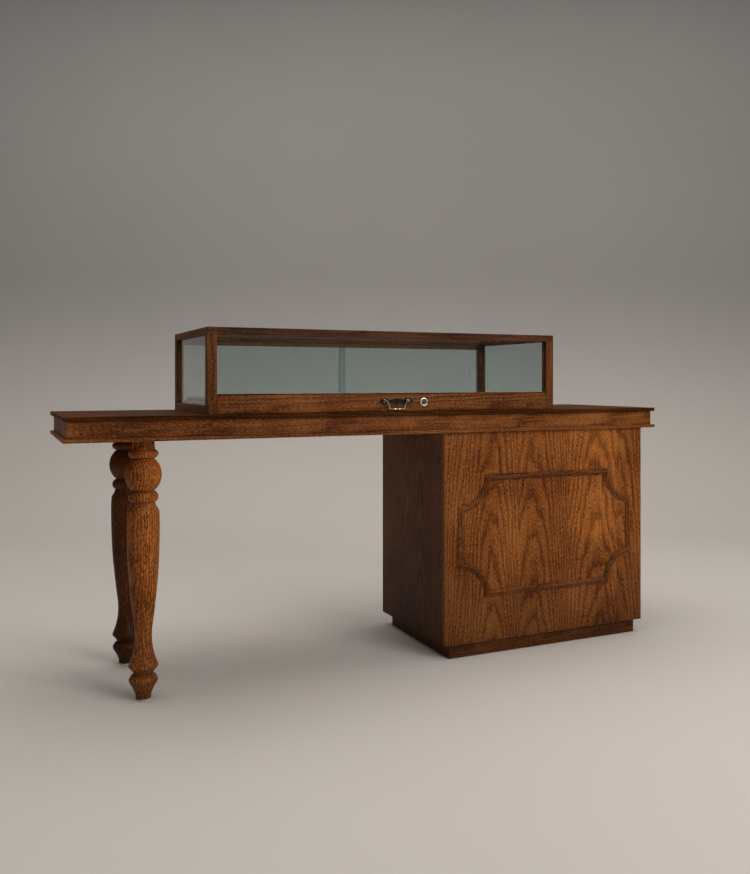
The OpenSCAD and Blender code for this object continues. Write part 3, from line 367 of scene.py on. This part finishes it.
leg_run = [(0.0, glide_top), (19.6, glide_top), (21.0, glide_top + 0.6)]
leg_run += run_curve(foot_run, 6) + run_curve(flare_run, 8) + run_curve(shaft_run, 8) + run_curve(cove_run, 6)
leg_run += run_bead(cove_r, bead_r, bead_root_r, head_at[3], head_at[4], 16)
leg_run += run_ball(bead_root_r, ball_r, head_at[4], head_at[5], 30)
leg_run += run_bead(bead_root_r, bead_r, cap_r, head_at[5], head_at[6], 12)
leg_run += run_curve(neck_run, 5) + [(neck_r, leg_top), (0.0, leg_top)]

# The lathe: the outline's points give a radius and a height, and are turned round the Z axis
lathe = bpy.data.node_groups.new("turned_on_the_lathe", "GeometryNodeTree")
for label, kind in (("Outline", "NodeSocketGeometry"), ("Cuts Round", "NodeSocketInt"),
                    ("Finish", "NodeSocketMaterial")):
    lathe.interface.new_socket(label, in_out="INPUT", socket_type=kind)
lathe.interface.new_socket("Piece", in_out="OUTPUT", socket_type="NodeSocketGeometry")
given = wire(lathe, "NodeGroupInput").outputs
rings = wire(lathe, "GeometryNodeAttributeDomainSize", {"Geometry": given["Outline"]}).outputs["Point Count"]
grid = wire(lathe, "GeometryNodeMeshGrid", {"Vertices X": calc(lathe, "+", given["Cuts Round"], 1.0),
                                            "Vertices Y": rings})
count = wire(lathe, "GeometryNodeInputIndex").outputs[0]
column = calc(lathe, "FLOOR", calc(lathe, "/", calc(lathe, "+", count, 0.5), rings))
row = calc(lathe, "-", count, calc(lathe, "*", column, rings))
mark = wire(lathe, "GeometryNodeSampleIndex", {"Geometry": given["Outline"], "Index": row,
                                               "Value": wire(lathe, "GeometryNodeInputPosition").outputs[0]},
            data_type="FLOAT_VECTOR", domain="POINT").outputs["Value"]
mark = wire(lathe, "ShaderNodeSeparateXYZ", {0: mark}).outputs
turn = calc(lathe, "/", calc(lathe, "*", column, 2 * math.pi), given["Cuts Round"])
spot = wire(lathe, "ShaderNodeCombineXYZ", {0: calc(lathe, "*", mark[0], calc(lathe, "COSINE", turn)),
                                            1: calc(lathe, "*", mark[0], calc(lathe, "SINE", turn)),
                                            2: mark[2]}).outputs[0]
moved = wire(lathe, "GeometryNodeSetPosition", {"Geometry": grid.outputs["Mesh"], "Position": spot})
closed = wire(lathe, "GeometryNodeMergeByDistance", {"Geometry": moved.outputs[0], "Distance": 0.00001})
smooth = wire(lathe, "GeometryNodeSetShadeSmooth", {0: closed.outputs[0], "Shade Smooth": True})
wire(lathe, "NodeGroupOutput", {0: wire(lathe, "GeometryNodeSetMaterial", {
    0: smooth.outputs[0], "Material": given["Finish"]}).outputs[0]})


def baked(source, tree, **values):
    """The plain mesh that a node tree makes of source's mesh, with its faces turned outwards."""
    modifier = source.modifiers.new("made", "NODES")
    modifier.node_group = tree
    for item in tree.interface.items_tree:
        label = item.name.replace(" ", "_").lower()
        if item.in_out == "INPUT" and label in values:
            modifier[item.identifier] = values[label]
    mesh = bpy.data.meshes.new_from_object(source.evaluated_get(bpy.context.evaluated_depsgraph_get()))
    bpy.data.objects.remove(source)
    bm = bmesh.new()
    bm.from_mesh(mesh)
    bmesh.ops.recalc_face_normals(bm, faces=bm.faces)
    bm.to_mesh(mesh)
    bm.free()
    return mesh


def turned(name, outline, centre, finish, body, stands_for, cuts=72, along="Z", hard=38):
    """A piece turned from an outline in millimetres, standing at centre in metres, its axis along Z or Y.
    Edges that are sharper than hard, in degrees, stay sharp."""
    line = bpy.data.meshes.new(name)
    line.from_pydata([(r * 0.001, 0.0, z * 0.001) for r, z in outline],
                     [(i, i + 1) for i in range(len(outline) - 1)], [])
    source = bpy.data.objects.new(name + "_outline", line)
    scene.collection.objects.link(source)
    mesh = baked(source, lathe, cuts_round=cuts, finish=finish)
    for vertex in mesh.vertices:
        x, y, z = vertex.co
        vertex.co = Vector(centre) + Vector((x, y, z) if along == "Z" else (x, z, -y))
    mesh.name = name
    piece = bpy.data.objects.new(name, mesh)
    scene.collection.objects.link(piece)
    mesh.update()
    bm = bmesh.new()
    bm.from_mesh(mesh)
    for edge in bm.edges:
        if len(edge.link_faces) == 2 and edge.calc_face_angle() > math.radians(hard):
            edge.smooth = False
    bm.to_mesh(mesh)
    bm.free()
    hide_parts(*stands_for)
    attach(piece, body)
    return piece


leg_x, leg_y = -0.78, 0.168
# The front leg's stain is made much paler and the rear leg's much darker: painted light on the front leg, painted
# shade on the one behind it
for node, side, seed, tone in (("leg_front", -1, 61.0, 1.68), ("leg_rear", 1, 71.0, 0.5)):
    foot = (leg_x, side * leg_y, 0.0)
    blank = stained_oak("oak_" + node, "Z", "Y", foot, 0.4, tone, 0.012, seed)
    turned(node + "_turned", leg_run, foot, blank, "counter", (node,))


# Under and inside the legs: zinc plated steel studs, screwed into the blanks and up into the blocks of the
# top, and turned nylon glides pressed under the feet.
def metal(name, base, rough, spread, grime, rubbed, rub):
    """A plated or browned metal: base colour, grime in its blotches, and a rubbed colour on its edges."""
    material, tree, shader, place = new_material(name)
    blotch = noise(tree, place, 70.0, 5.0, 0.65)
    fine = noise(tree, place, 1080.0, 3.0)
    dull = remap(tree, blotch, 0.45, 0.68)
    coloured = mixed(tree, calc(tree, "*", dull, 0.6), base, grime)
    edge = calc(tree, "*", worn_edge(tree), remap(tree, fine, 0.35, 0.6))
    bright = mixed(tree, calc(tree, "*", edge, rub), coloured, rubbed)
    polish = calc(tree, "+", rough, calc(tree, "*", calc(tree, "+", dull, fine), spread))
    coat(tree, shader, bright, polish, calc(tree, "+", blotch, calc(tree, "*", fine, 0.3)), 0.25, 0.0002)
    shader.inputs["Metallic"].default_value = 1.0
    return material


zinc = metal("zinc_steel", (0.52, 0.53, 0.54), 0.3, 0.14, (0.34, 0.34, 0.35), (0.7, 0.7, 0.7), 0.5)
nylon, tree, shader, place = new_material("nylon")
scuff = noise(tree, place, 140.0, 4.0)
cream = mixed(tree, scuff, (0.46, 0.43, 0.37), (0.62, 0.59, 0.52))
coat(tree, shader, cream, remap(tree, scuff, to_low=0.4, to_high=0.6), scuff, 0.2, 0.0002)
eased("leg_studs", zinc, 0, name="leg_studs_zinc")
eased("leg_glides", nylon, 0.0005, name="leg_glides_nylon")

# The cupboard under the right end: oak-faced boards glued at their corners on a set-back plinth. The
# front panel's figure runs upright in wide glued strips.
# The tone column holds painted light and shade: the front is stained paler, and the left side, which faces away
# from the key light, much darker than the right
for node, grain, face, at, stave, tone, slant, seed, ease in (
    ("cabinet_front", "Z", "Y", (0.02, -0.235, 0.385), 0.205, 1.24, 0.05, 83.0, 0.0012),
    ("cabinet_side_left", "Z", "X", (0.15, 0.02, 0.385), 0.17, 0.6, 0.05, 97.0, 0.0008),
    ("cabinet_side_right", "Z", "X", (0.95, 0.02, 0.385), 0.17, 0.95, 0.05, 101.0, 0.0008),
    ("plinth_boards", "X", "Y", (0.55, -0.223, 0.022), 0.2, 0.95, 0.02, 113.0, 0.0008),
):
    eased(node, stained_oak("oak_" + node, grain, face, at, stave, tone, slant, seed), ease)
for node in ("cabinet_top", "cabinet_floor", "shelf"):
    eased(node, birch, 0.0008, name=node + "_birch")

# The moulding on the cupboard's front: thin oak strips run through a moulding plane, an ogee between two
# square steps, glued on as a frame whose four corners are hollowed to quarter circles.
mould_x, mould_z, mould_r, mould_y = (0.2, 0.9), (0.19, 0.59), 0.1, -0.235
ogee = [(0.0, 0.0), (0.0, 3.1), (0.5, 3.9), (1.2, 4.1), (3.9, 4.1), (4.5, 4.4), (5.0, 5.4)]
for a in (math.radians(25), math.radians(50), math.radians(75)):
    ogee.append((5.0 + 5.0 * math.sin(a), 5.4 + 3.5 * (1 - math.cos(a))))
ogee += [(10.6, 9.0), (12.0, 9.0)]
for a in (math.radians(15), math.radians(40), math.radians(65), math.radians(90)):
    ogee.append((12.4 + 4.0 * (1 - math.cos(a)), 8.8 - 3.6 * math.sin(a)))
ogee += [(17.0, 4.4), (17.6, 4.1), (19.9, 4.1), (20.6, 3.8), (21.0, 3.1), (21.0, 0.0)]
ogee = [(d * 0.001, h * 0.001) for d, h in ogee]
arc_steps, crest, mould_crease = 18, 0.0085, 0.7


def mould_line(inset):
    """The moulding's closed outline moved inwards by inset, and the piece that each point starts."""
    points, kinds = [], []
    r = mould_r + inset
    low = math.asin(inset / r)
    for cx, cz, start in ((mould_x[0], mould_z[0], 90), (mould_x[1], mould_z[0], 180),
                          (mould_x[1], mould_z[1], 270), (mould_x[0], mould_z[1], 360)):
        first, last = math.radians(start) - low, math.radians(start - 90) + low
        for k in range(arc_steps + 1):
            a = first + (last - first) * k / arc_steps
            points.append((cx + r * math.cos(a), cz + r * math.sin(a)))
            kinds.append("arc" if k < arc_steps else "run")
    return points, kinds


bm = bmesh.new()
wear = bm.faces.layers.float.new("edge_wear")
loops = []
for inset, height in ogee:
    points, kinds = mould_line(inset)
    loops.append([bm.verts.new((x, mould_y - height, z)) for x, z in points])
for j in range(len(ogee)):
    inner, outer = loops[(j + 1) % len(ogee)], loops[j]
    for i in range(len(outer)):
        k = (i + 1) % len(outer)
        face = bm.faces.new((outer[i], outer[k], inner[k], inner[i]))
        across = kinds[i] == "run" and i // (arc_steps + 1) % 2 == 0
        face.material_index = 1 if across else 0
        face.smooth = 0 < j < len(ogee) - 2
        face[wear] = 1.0 if crest < (ogee[j][1] + ogee[(j + 1) % len(ogee)][1]) / 2 else 0.0
bmesh.ops.recalc_face_normals(bm, faces=bm.faces)
for edge in bm.edges:
    edge.smooth = edge.calc_face_angle() < mould_crease
moulding = new_piece("panel_moulding_run", bm)
# The moulding is stained darker than the panel under it: painted shade for the shade along its edges
for grain in ("Z", "X"):
    moulding.data.materials.append(stained_oak("oak_moulding_" + grain, grain, "Y", (0.21, -0.24, 0.39),
                                               0.3, 0.78, 0.02, 127.0))
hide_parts("panel_moulding")
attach(moulding, "counter")

# The staff side: two oak doors on steel-pinned bronze butt hinges, each leaf let in flush and held by
# three countersunk screws, turned knobs, and magnetic catches that meet plated strikes.
door_y = 0.235
for side, x, tone, seed in (("left", 0.36, 1.0, 167.0), ("right", 0.74, 0.96, 173.0)):
    oak = stained_oak("oak_door_" + side, "Z", "Y", (x, door_y, 0.385), 0.19, tone, 0.05, seed)
    eased("cabinet_door_" + side, oak, 0.0012, "door_" + side)
bronze = metal("antique_bronze", (0.026, 0.021, 0.017), 0.34, 0.16, (0.012, 0.01, 0.008), (0.62, 0.56, 0.5), 0.85)
eased("hinge_leaves_fixed", bronze, 0, name="hinge_leaves_fixed_bronze")
knob_run = [(0.0, -12.0), (2.9, -12.0), (2.9, 0.0), (8.0, 0.0), (8.2, 0.5), (8.0, 1.3), (6.6, 1.8), (5.4, 2.8),
            (4.9, 4.2), (5.6, 5.2), (8.2, 6.0), (10.4, 6.9), (11.6, 8.0), (12.0, 9.2), (11.6, 10.4), (10.2, 11.5),
            (8.0, 12.3), (5.0, 12.8), (2.4, 13.0), (0.0, 13.0)]
for side, knob_x in (("left", 0.5185), ("right", 0.5815)):
    eased("hinge_leaves_" + side, bronze, 0, "door_" + side, "hinge_leaves_%s_bronze" % side)
    eased("strike_" + side, zinc, 0.0002, "door_" + side, "strike_%s_zinc" % side)
    turned("knob_%s_turned" % side, knob_run, (knob_x, door_y, 0.43), bronze, "door_" + side,
           ("knob_" + side,), cuts=48, along="Y", hard=50)
for node in ("hinge_pins", "shelf_pins", "cabinet_bolts", "tee_nuts"):
    eased(node, zinc, 0, name=node + "_zinc")
eased("magnet_catches", nylon, 0.0008, name="magnet_catches_nylon")

# The hinge screws: one slotted countersunk head, made as two halves beside the slot, and placed on every
# screw spot by nodes, each turned its own way
head_r, half_slot, head_high, half_steps = 0.0023, 0.00025, 0.00008, 12
bm = bmesh.new()
for start, aside_slot in ((-math.pi, -half_slot), (0.0, half_slot)):
    turns = [start + math.pi * k / half_steps for k in range(half_steps + 1)]
    low, high = ([bm.verts.new((head_r * math.cos(t), head_r * math.sin(t) + aside_slot, z)) for t in turns]
                 for z in (0.0, head_high))
    bm.faces.new(low)
    bm.faces.new(high)
    for i in range(len(turns)):
        bm.faces.new((low[i - 1], low[i], high[i], high[i - 1]))
bmesh.ops.recalc_face_normals(bm, faces=bm.faces)
head = new_piece("screw_head", bm)
screwed = bpy.data.node_groups.new("screws_on_their_spots", "GeometryNodeTree")
for label, kind in (("Spots", "NodeSocketGeometry"), ("Head", "NodeSocketObject"),
                    ("Facing", "NodeSocketVector"), ("Finish", "NodeSocketMaterial")):
    screwed.interface.new_socket(label, in_out="INPUT", socket_type=kind)
screwed.interface.new_socket("Screws", in_out="OUTPUT", socket_type="NodeSocketGeometry")
given = wire(screwed, "NodeGroupInput").outputs
one = wire(screwed, "GeometryNodeObjectInfo", {"Object": given["Head"]}).outputs["Geometry"]
facing = wire(screwed, "FunctionNodeAlignRotationToVector", {"Vector": given["Facing"]}, axis="Z").outputs[0]
twist = wire(screwed, "FunctionNodeRandomValue", {"Min": 0.0, "Max": 3.1, "Seed": 7}, data_type="FLOAT")
chance = next(s for s in twist.outputs if s.enabled)
turned_by = wire(screwed, "FunctionNodeAxisAngleToRotation", {"Axis": (0.0, 0.0, 1.0), "Angle": chance}).outputs[0]
facing = wire(screwed, "FunctionNodeRotateRotation", {"Rotation": facing, "Rotate By": turned_by},
              rotation_space="LOCAL").outputs[0]
placed = wire(screwed, "GeometryNodeInstanceOnPoints", {"Points": given["Spots"], "Instance": one,
                                                        "Rotation": facing}).outputs[0]
solid = wire(screwed, "GeometryNodeRealizeInstances", {0: placed}).outputs[0]
wire(screwed, "NodeGroupOutput", {0: wire(screwed, "GeometryNodeSetMaterial", {
    0: solid, "Material": given["Finish"]}).outputs[0]})


def screws(name, spots, facing, body):
    """Screw heads at the spots, in metres, facing one way, as one plain mesh."""
    points = bpy.data.meshes.new(name)
    points.from_pydata(spots, [], [])
    source = bpy.data.objects.new(name + "_spots", points)
    scene.collection.objects.link(source)
    piece = bpy.data.objects.new(name, baked(source, screwed, head=head, facing=facing, finish=zinc))
    piece.data.name = name
    scene.collection.objects.link(piece)
    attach(piece, body)


hinge_feet, screws_up, screw_y, leaf_gap = (0.118, 0.587), (0.013, 0.035, 0.057), 0.2265, 0.0004
screw_heights = [z + d for z in hinge_feet for d in screws_up]
for side, sign, x in (("left", 1, 0.1693), ("right", -1, 0.9307)):
    screws("hinge_screws_fixed_" + side, [(x, screw_y, z) for z in screw_heights], (sign, 0.0, 0.0), "counter")
    screws("hinge_screws_door_" + side, [(x + sign * leaf_gap, screw_y, z) for z in screw_heights],
           (-sign, 0.0, 0.0), "door_" + side)
bpy.data.objects.remove(head)

# The showcase frame: square oak posts with slim rails between them, grooved for the glass and joined
# with short tenons. The top rails lie over the posts and are rebated for the glass top.
# top_rail_back's low tone is painted shade for the dark inside of the showcase
for node, grain, face, at, stave, tone, slant, seed in (
    ("case_posts", "Z", "Y", (-0.6, -0.231, 0.9), 0.3, 0.56, 0.02, 131.0),
    ("top_rail_front", "X", "Y", (0.0, -0.231, 1.04), 0.2, 0.36, 0.02, 137.0),
    ("top_rail_back", "X", "Y", (0.0, 0.231, 1.04), 0.2, 0.42, 0.02, 139.0),
    ("top_rails_side", "Y", "X", (-0.613, 0.0, 1.04), 0.2, 0.54, 0.02, 149.0),
    ("base_rails_side", "Y", "X", (-0.613, 0.0, 0.812), 0.2, 0.62, 0.02, 151.0),
    ("base_rail_back", "X", "Y", (0.0, 0.231, 0.812), 0.2, 0.66, 0.02, 157.0),
    ("front_sill", "X", "Z", (0.0, -0.2, 0.857), 0.2, 0.7, 0.02, 163.0),
):
    eased(node, stained_oak("oak_" + node, grain, face, at, stave, tone, slant, seed), 0.0006)


# The glass: five panes of clear float glass, 5 mm thick and a little green-grey, with ground edges. The
# front, sides and top stand in grooves; the two at the back slide past each other.
def float_glass(name):
    """Clear glass that lets lamp light through, a little smeared, its ground edges greener and matt."""
    material, tree, shader, place = new_material(name)
    edge = worn_edge(tree)
    film = remap(tree, noise(tree, place, 9.0, 4.0), 0.5, 0.8, 0.0, 0.035)
    colour = mixed(tree, edge, (0.73, 0.805, 0.80), (0.42, 0.68, 0.58))
    coat(tree, shader, colour, calc(tree, "+", film, calc(tree, "*", edge, 0.28)))
    shader.inputs["Transmission Weight"].default_value = 1.0
    shader.inputs["IOR"].default_value = 1.5
    clear = wire(tree, "ShaderNodeBsdfTransparent", {"Color": (0.62, 0.68, 0.67, 1)})
    either = wire(tree, "ShaderNodeMixShader", {0: wire(tree, "ShaderNodeLightPath").outputs["Is Shadow Ray"],
                                                1: shader.outputs[0], 2: clear.outputs[0]})
    tree.links.new(either.outputs[0], tree.nodes["Material Output"].inputs["Surface"])
    return material


glass = float_glass("float_glass")
for node, thin, body in (("glass_front", 1, "counter"), ("glass_sides", 0, "counter"), ("glass_top", 2, "counter"),
                         ("glass_door_left", 1, "pane_left"), ("glass_door_right", 1, "pane_right")):
    eased(node, glass, 0.0004, body, node + "_pane", thin)


# The channels that the rear panes slide in: folded bronze strip. The lower one is browned, the upper one
# is lacquered brown to go with the rail that it hangs from.
def refinished(piece, material, chosen):
    """Give the faces whose centres are chosen another material."""
    piece.data.materials.append(material)
    for face in piece.data.polygons:
        if chosen(face.center):
            face.material_index = len(piece.data.materials) - 1


brown_lacquer = metal("brown_lacquer", (0.13, 0.062, 0.032), 0.42, 0.16, (0.07, 0.033, 0.017),
                      (0.18, 0.09, 0.045), 0.5)
tracks = eased("door_tracks", bronze, 0.0002, name="door_tracks_bronze")
between_tracks = 0.93
refinished(tracks, brown_lacquer, lambda at: at.z > between_tracks)

# The bed of the showcase: a board stained like the frame, and on it a removable pad, foam on card wrapped
# in short brown velvet, crowned a little where the foam fills it out.
eased("deck_board",
      stained_oak("oak_deck", "X", "Z", (0.0, 0.0, 0.833), 0.13, 0.6, 0.03, 191.0), 0.0006)


def velvet(name, deep, raised):
    """Short cotton velvet: a pile that lies in patches, dull from above and pale at a low angle."""
    material, tree, shader, place = new_material(name)
    nap = noise(tree, place, 16.0, 4.0, 0.6)
    pile = noise(tree, place, 1500.0, 2.0)
    lie = remap(tree, calc(tree, "+", calc(tree, "*", nap, 0.7), calc(tree, "*", pile, 0.3)), 0.35, 0.65)
    matt = remap(tree, pile, to_low=0.82, to_high=0.98)
    coat(tree, shader, mixed(tree, lie, deep, raised), matt, pile, 0.5, 0.0006)
    shader.inputs["Sheen Weight"].default_value = 0.1
    shader.inputs["Sheen Roughness"].default_value = 0.4
    shader.inputs["Sheen Tint"].default_value = (0.75, 0.6, 0.55, 1)
    return material


brown_velvet = velvet("brown_velvet", (0.115, 0.066, 0.054), (0.2, 0.125, 0.107))
low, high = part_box("display_pad")
low, high = Vector(low) + Vector((0.001, 0.001, 0.0)), Vector(high) - Vector((0.001, 0.001, 0.0018))
# The wrapped slab before it is filled: a cell every 9 mm, and its section rolled at the edges, in steps
# that give how far in and how far up each turn of the roll lies
cell, roll_in, roll_depth = 0.009, 0.002, 0.004
roll = [(0.0, 0.0), (-0.4, 0.25), (-0.5, 0.55), (-0.25, 0.85), (0.55, 1.0)]
bm = bmesh.new()
cells = [round((high[i] - low[i]) / cell) for i in (0, 1)]
levels = []
for share, up in roll:
    inset = roll_in + roll_depth * share
    z = low.z + (high.z - low.z) * up
    xs = [low.x + inset + (high.x - low.x - 2 * inset) * i / cells[0] for i in range(cells[0] + 1)]
    ys = [low.y + inset + (high.y - low.y - 2 * inset) * j / cells[1] for j in range(cells[1] + 1)]
    rim = [(x, ys[0]) for x in xs[:-1]] + [(xs[-1], y) for y in ys[:-1]]
    rim += [(x, ys[-1]) for x in xs[:0:-1]] + [(xs[0], y) for y in ys[:0:-1]]
    levels.append([bm.verts.new((x, y, z)) for x, y in rim])
for below, above in zip(levels, levels[1:]):
    for i in range(len(below)):
        k = (i + 1) % len(below)
        bm.faces.new((below[i], below[k], above[k], above[i]))
for level, z in ((levels[0], low.z), (levels[-1], high.z)):
    first, last = level[0].co, level[cells[0] + cells[1]].co
    sheet = {}
    for j in range(cells[1] + 1):
        for i in range(cells[0] + 1):
            if j == 0:
                sheet[i, j] = level[i]
            elif i == cells[0]:
                sheet[i, j] = level[cells[0] + j]
            elif j == cells[1]:
                sheet[i, j] = level[2 * cells[0] + cells[1] - i]
            elif i == 0:
                sheet[i, j] = level[2 * cells[0] + 2 * cells[1] - j]
            else:
                sheet[i, j] = bm.verts.new((first.x + (last.x - first.x) * i / cells[0],
                                            first.y + (last.y - first.y) * j / cells[1], z))
    for j in range(cells[1]):
        for i in range(cells[0]):
            bm.faces.new((sheet[i, j], sheet[i + 1, j], sheet[i + 1, j + 1], sheet[i, j + 1]))
bmesh.ops.recalc_face_normals(bm, faces=bm.faces)
for face in bm.faces:
    face.smooth = True
pad = new_piece("display_pad_velvet", bm)
pad.data.materials.append(brown_velvet)
# The filling: the cover is blown up as a cloth that is held along its bottom edge, and moves a little
held_below, most_swell, most_aside, cloth_steps = 0.0005, 0.0016, 0.0008, 20
start = [v.co.copy() for v in pad.data.vertices]
held = pad.vertex_groups.new(name="on_the_board")
held.add([v.index for v in pad.data.vertices if v.co.z < low.z + held_below], 1.0, "REPLACE")
filling = pad.modifiers.new("filling", "CLOTH")
filling.settings.quality = 6
filling.settings.mass = 0.3
filling.settings.tension_stiffness = 20
filling.settings.compression_stiffness = 20
filling.settings.bending_stiffness = 2
filling.settings.use_pressure = True
filling.settings.uniform_pressure_force = 4
filling.settings.vertex_group_mass = "on_the_board"
filling.settings.effector_weights.gravity = 0
filling.collision_settings.use_collision = False
for step in range(1, cloth_steps + 1):
    scene.frame_set(step)
filled = pad.evaluated_get(bpy.context.evaluated_depsgraph_get()).to_mesh()
ends = [v.co.copy() for v in filled.vertices]
pad.modifiers.remove(filling)
scene.frame_set(1)
for vertex, a, b in zip(pad.data.vertices, start, ends):
    move = b - a
    if move.length > most_swell:
        move *= most_swell / move.length
    move.x = max(-most_aside, min(most_aside, move.x))
    move.y = max(-most_aside, min(most_aside, move.y))
    vertex.co = a + move
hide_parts("display_pad")
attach(pad, "counter")

# The drawer: an oak front with the grain along it, glued over a birch box on steel ball slides, with
# a sheet of the same velvet laid in as a liner.
oak = stained_oak("oak_drawer_front", "X", "Y", (0.0, -0.231, 0.826), 0.11, 0.72, 0.018, 179.0)
eased("drawer_front", oak, 0.001, "drawer")
for node in ("drawer_walls", "drawer_bottom"):
    eased(node, birch, 0.0005, "drawer", node + "_birch")
eased("slides_fixed", zinc, 0.0002, name="slides_fixed_zinc")
eased("slides_moving", zinc, 0.0002, "drawer", "slides_moving_zinc")
# The liner: a sheet of cells that lies a little unevenly, closed by its four edges and its underside
low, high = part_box("drawer_liner")
nx, ny, below_top, above_floor = 180, 64, 0.0003, 0.00002
bm = bmesh.new()
tops = {}
for j in range(ny + 1):
    for i in range(nx + 1):
        x = low[0] + (high[0] - low[0]) * i / nx
        y = low[1] + (high[1] - low[1]) * j / ny
        lift = 0.00012 * math.sin(31 * x + 2.0 * math.sin(17 * y)) + 0.00008 * math.sin(47 * y + 5 * x)
        tops[i, j] = bm.verts.new((x, y, high[2] - below_top + lift))
under = {key: bm.verts.new((v.co.x, v.co.y, low[2] + above_floor)) for key, v in list(tops.items())
         if key[0] in (0, nx) or key[1] in (0, ny)}
for j in range(ny):
    for i in range(nx):
        bm.faces.new((tops[i, j], tops[i + 1, j], tops[i + 1, j + 1], tops[i, j + 1])).smooth = True
ring = [(i, 0) for i in range(nx)] + [(nx, j) for j in range(ny)]
ring += [(i, ny) for i in range(nx, 0, -1)] + [(0, j) for j in range(ny, 0, -1)]
for a, b in zip(ring, ring[1:] + ring[:1]):
    bm.faces.new((under[a], under[b], tops[b], tops[a]))
bm.faces.new([under[k] for k in reversed(ring)])
bmesh.ops.recalc_face_normals(bm, faces=bm.faces)
liner = new_piece("drawer_liner_velvet", bm)
liner.data.materials.append(brown_velvet)
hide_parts("drawer_liner")
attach(liner, "drawer")

# The drawer pull: a cast plate with wings, two posts screwed through the front, and a bail that drops
# between them. Browned brass, the posts and the bail paler than the plate, with painted highlights on the bail's
# arms and beads.
eased("pull_plate", bronze, 0.0004, "drawer", "pull_plate_bronze")
# Painted highlights: the bail's arms and the two beads of its bar get a far paler bronze, and its bar is left
# darker
rubbed_bronze = metal("rubbed_bronze", (0.75, 0.7, 0.65), 0.24, 0.14, (0.1, 0.085, 0.07), (0.8, 0.75, 0.7), 0.8)
worn_bronze = metal("worn_bronze", (0.26, 0.23, 0.2), 0.2, 0.14, (0.05, 0.042, 0.035), (0.7, 0.66, 0.6), 0.8)
eased("pull_posts", worn_bronze, 0, "drawer", "pull_posts_bronze")
grip = eased("bail", worn_bronze, 0, "bail", "bail_bronze")
bar_low = min(v.co.z for v in grip.data.vertices)
bar_high, arms_high = bar_low + 0.006, bar_low + 0.019
pull_x, bead_off, bead_half = -0.02, 0.0075, 0.002


def lit_arm_or_bead(at):
    """Whether a face of the bail is on one of its arms, or on one of the two beads of its bar, where highlights
    are painted.
    """
    on_bead = at.z < bar_high and abs(abs(at.x - pull_x) - bead_off) < bead_half
    return bar_high < at.z < arms_high or on_bead


refinished(grip, rubbed_bronze, lit_arm_or_bead)

# The cam lock beside it: a nickel plated barrel with a flange, held by a nut behind the drawer front, its
# plug slotted for the key, and a zinc plated cam on the plug's tail.
nickel = metal("nickel_plate", (0.9, 0.87, 0.82), 0.36, 0.1, (0.78, 0.74, 0.69), (0.93, 0.91, 0.88), 0.6)
lock_at, dish_front, dish_r = (0.078, -0.231, 0.829), -0.001, 0.0095
flange = [(6.06, 29.3), (8.5, 29.3), (8.5, 0.0), (13.3, 0.0), (13.5, -0.2), (13.5, -0.9), (13.2, -1.4),
          (12.4, -2.0), (11.6, -2.4), (10.9, -2.5), (10.4, -2.45), (9.8, -2.1), (8.0, -1.3), (7.6, -1.2),
          (6.3, -1.2), (6.06, -1.05), (6.06, 29.3)]
barrel = turned("lock_body_turned", flange, lock_at, nickel, "drawer", ("lock_body",), 64, "Y", 30)
# Painted shade: the dish round the plug and the plug itself get a dark nickel, so the lock's centre shows dark
# inside its bright flange
dull_nickel = metal("dull_nickel", (0.13, 0.118, 0.105), 0.3, 0.14, (0.04, 0.035, 0.03), (0.5, 0.48, 0.45), 0.5)


def in_dish(at):
    """Whether a face of the lock's barrel is in the dish round its plug, which is painted dark as shade."""
    off = at - Vector(lock_at)
    return off.y < dish_front and math.hypot(off.x, off.z) < dish_r


refinished(barrel, dull_nickel, in_dish)
nut = [(8.4, 20.0), (12.4, 20.0), (12.7, 20.4), (12.7, 22.6), (12.4, 23.0), (8.4, 23.0), (8.4, 20.0)]
turned("lock_nut", nut, lock_at, nickel, "drawer", ("lock_body",), 6, "Y", 20)
eased("lock_plug", dull_nickel, 0.0001, "lock_cylinder", "lock_plug_nickel")
eased("lock_cam", zinc, 0.0002, "lock_cylinder", "lock_cam_zinc")
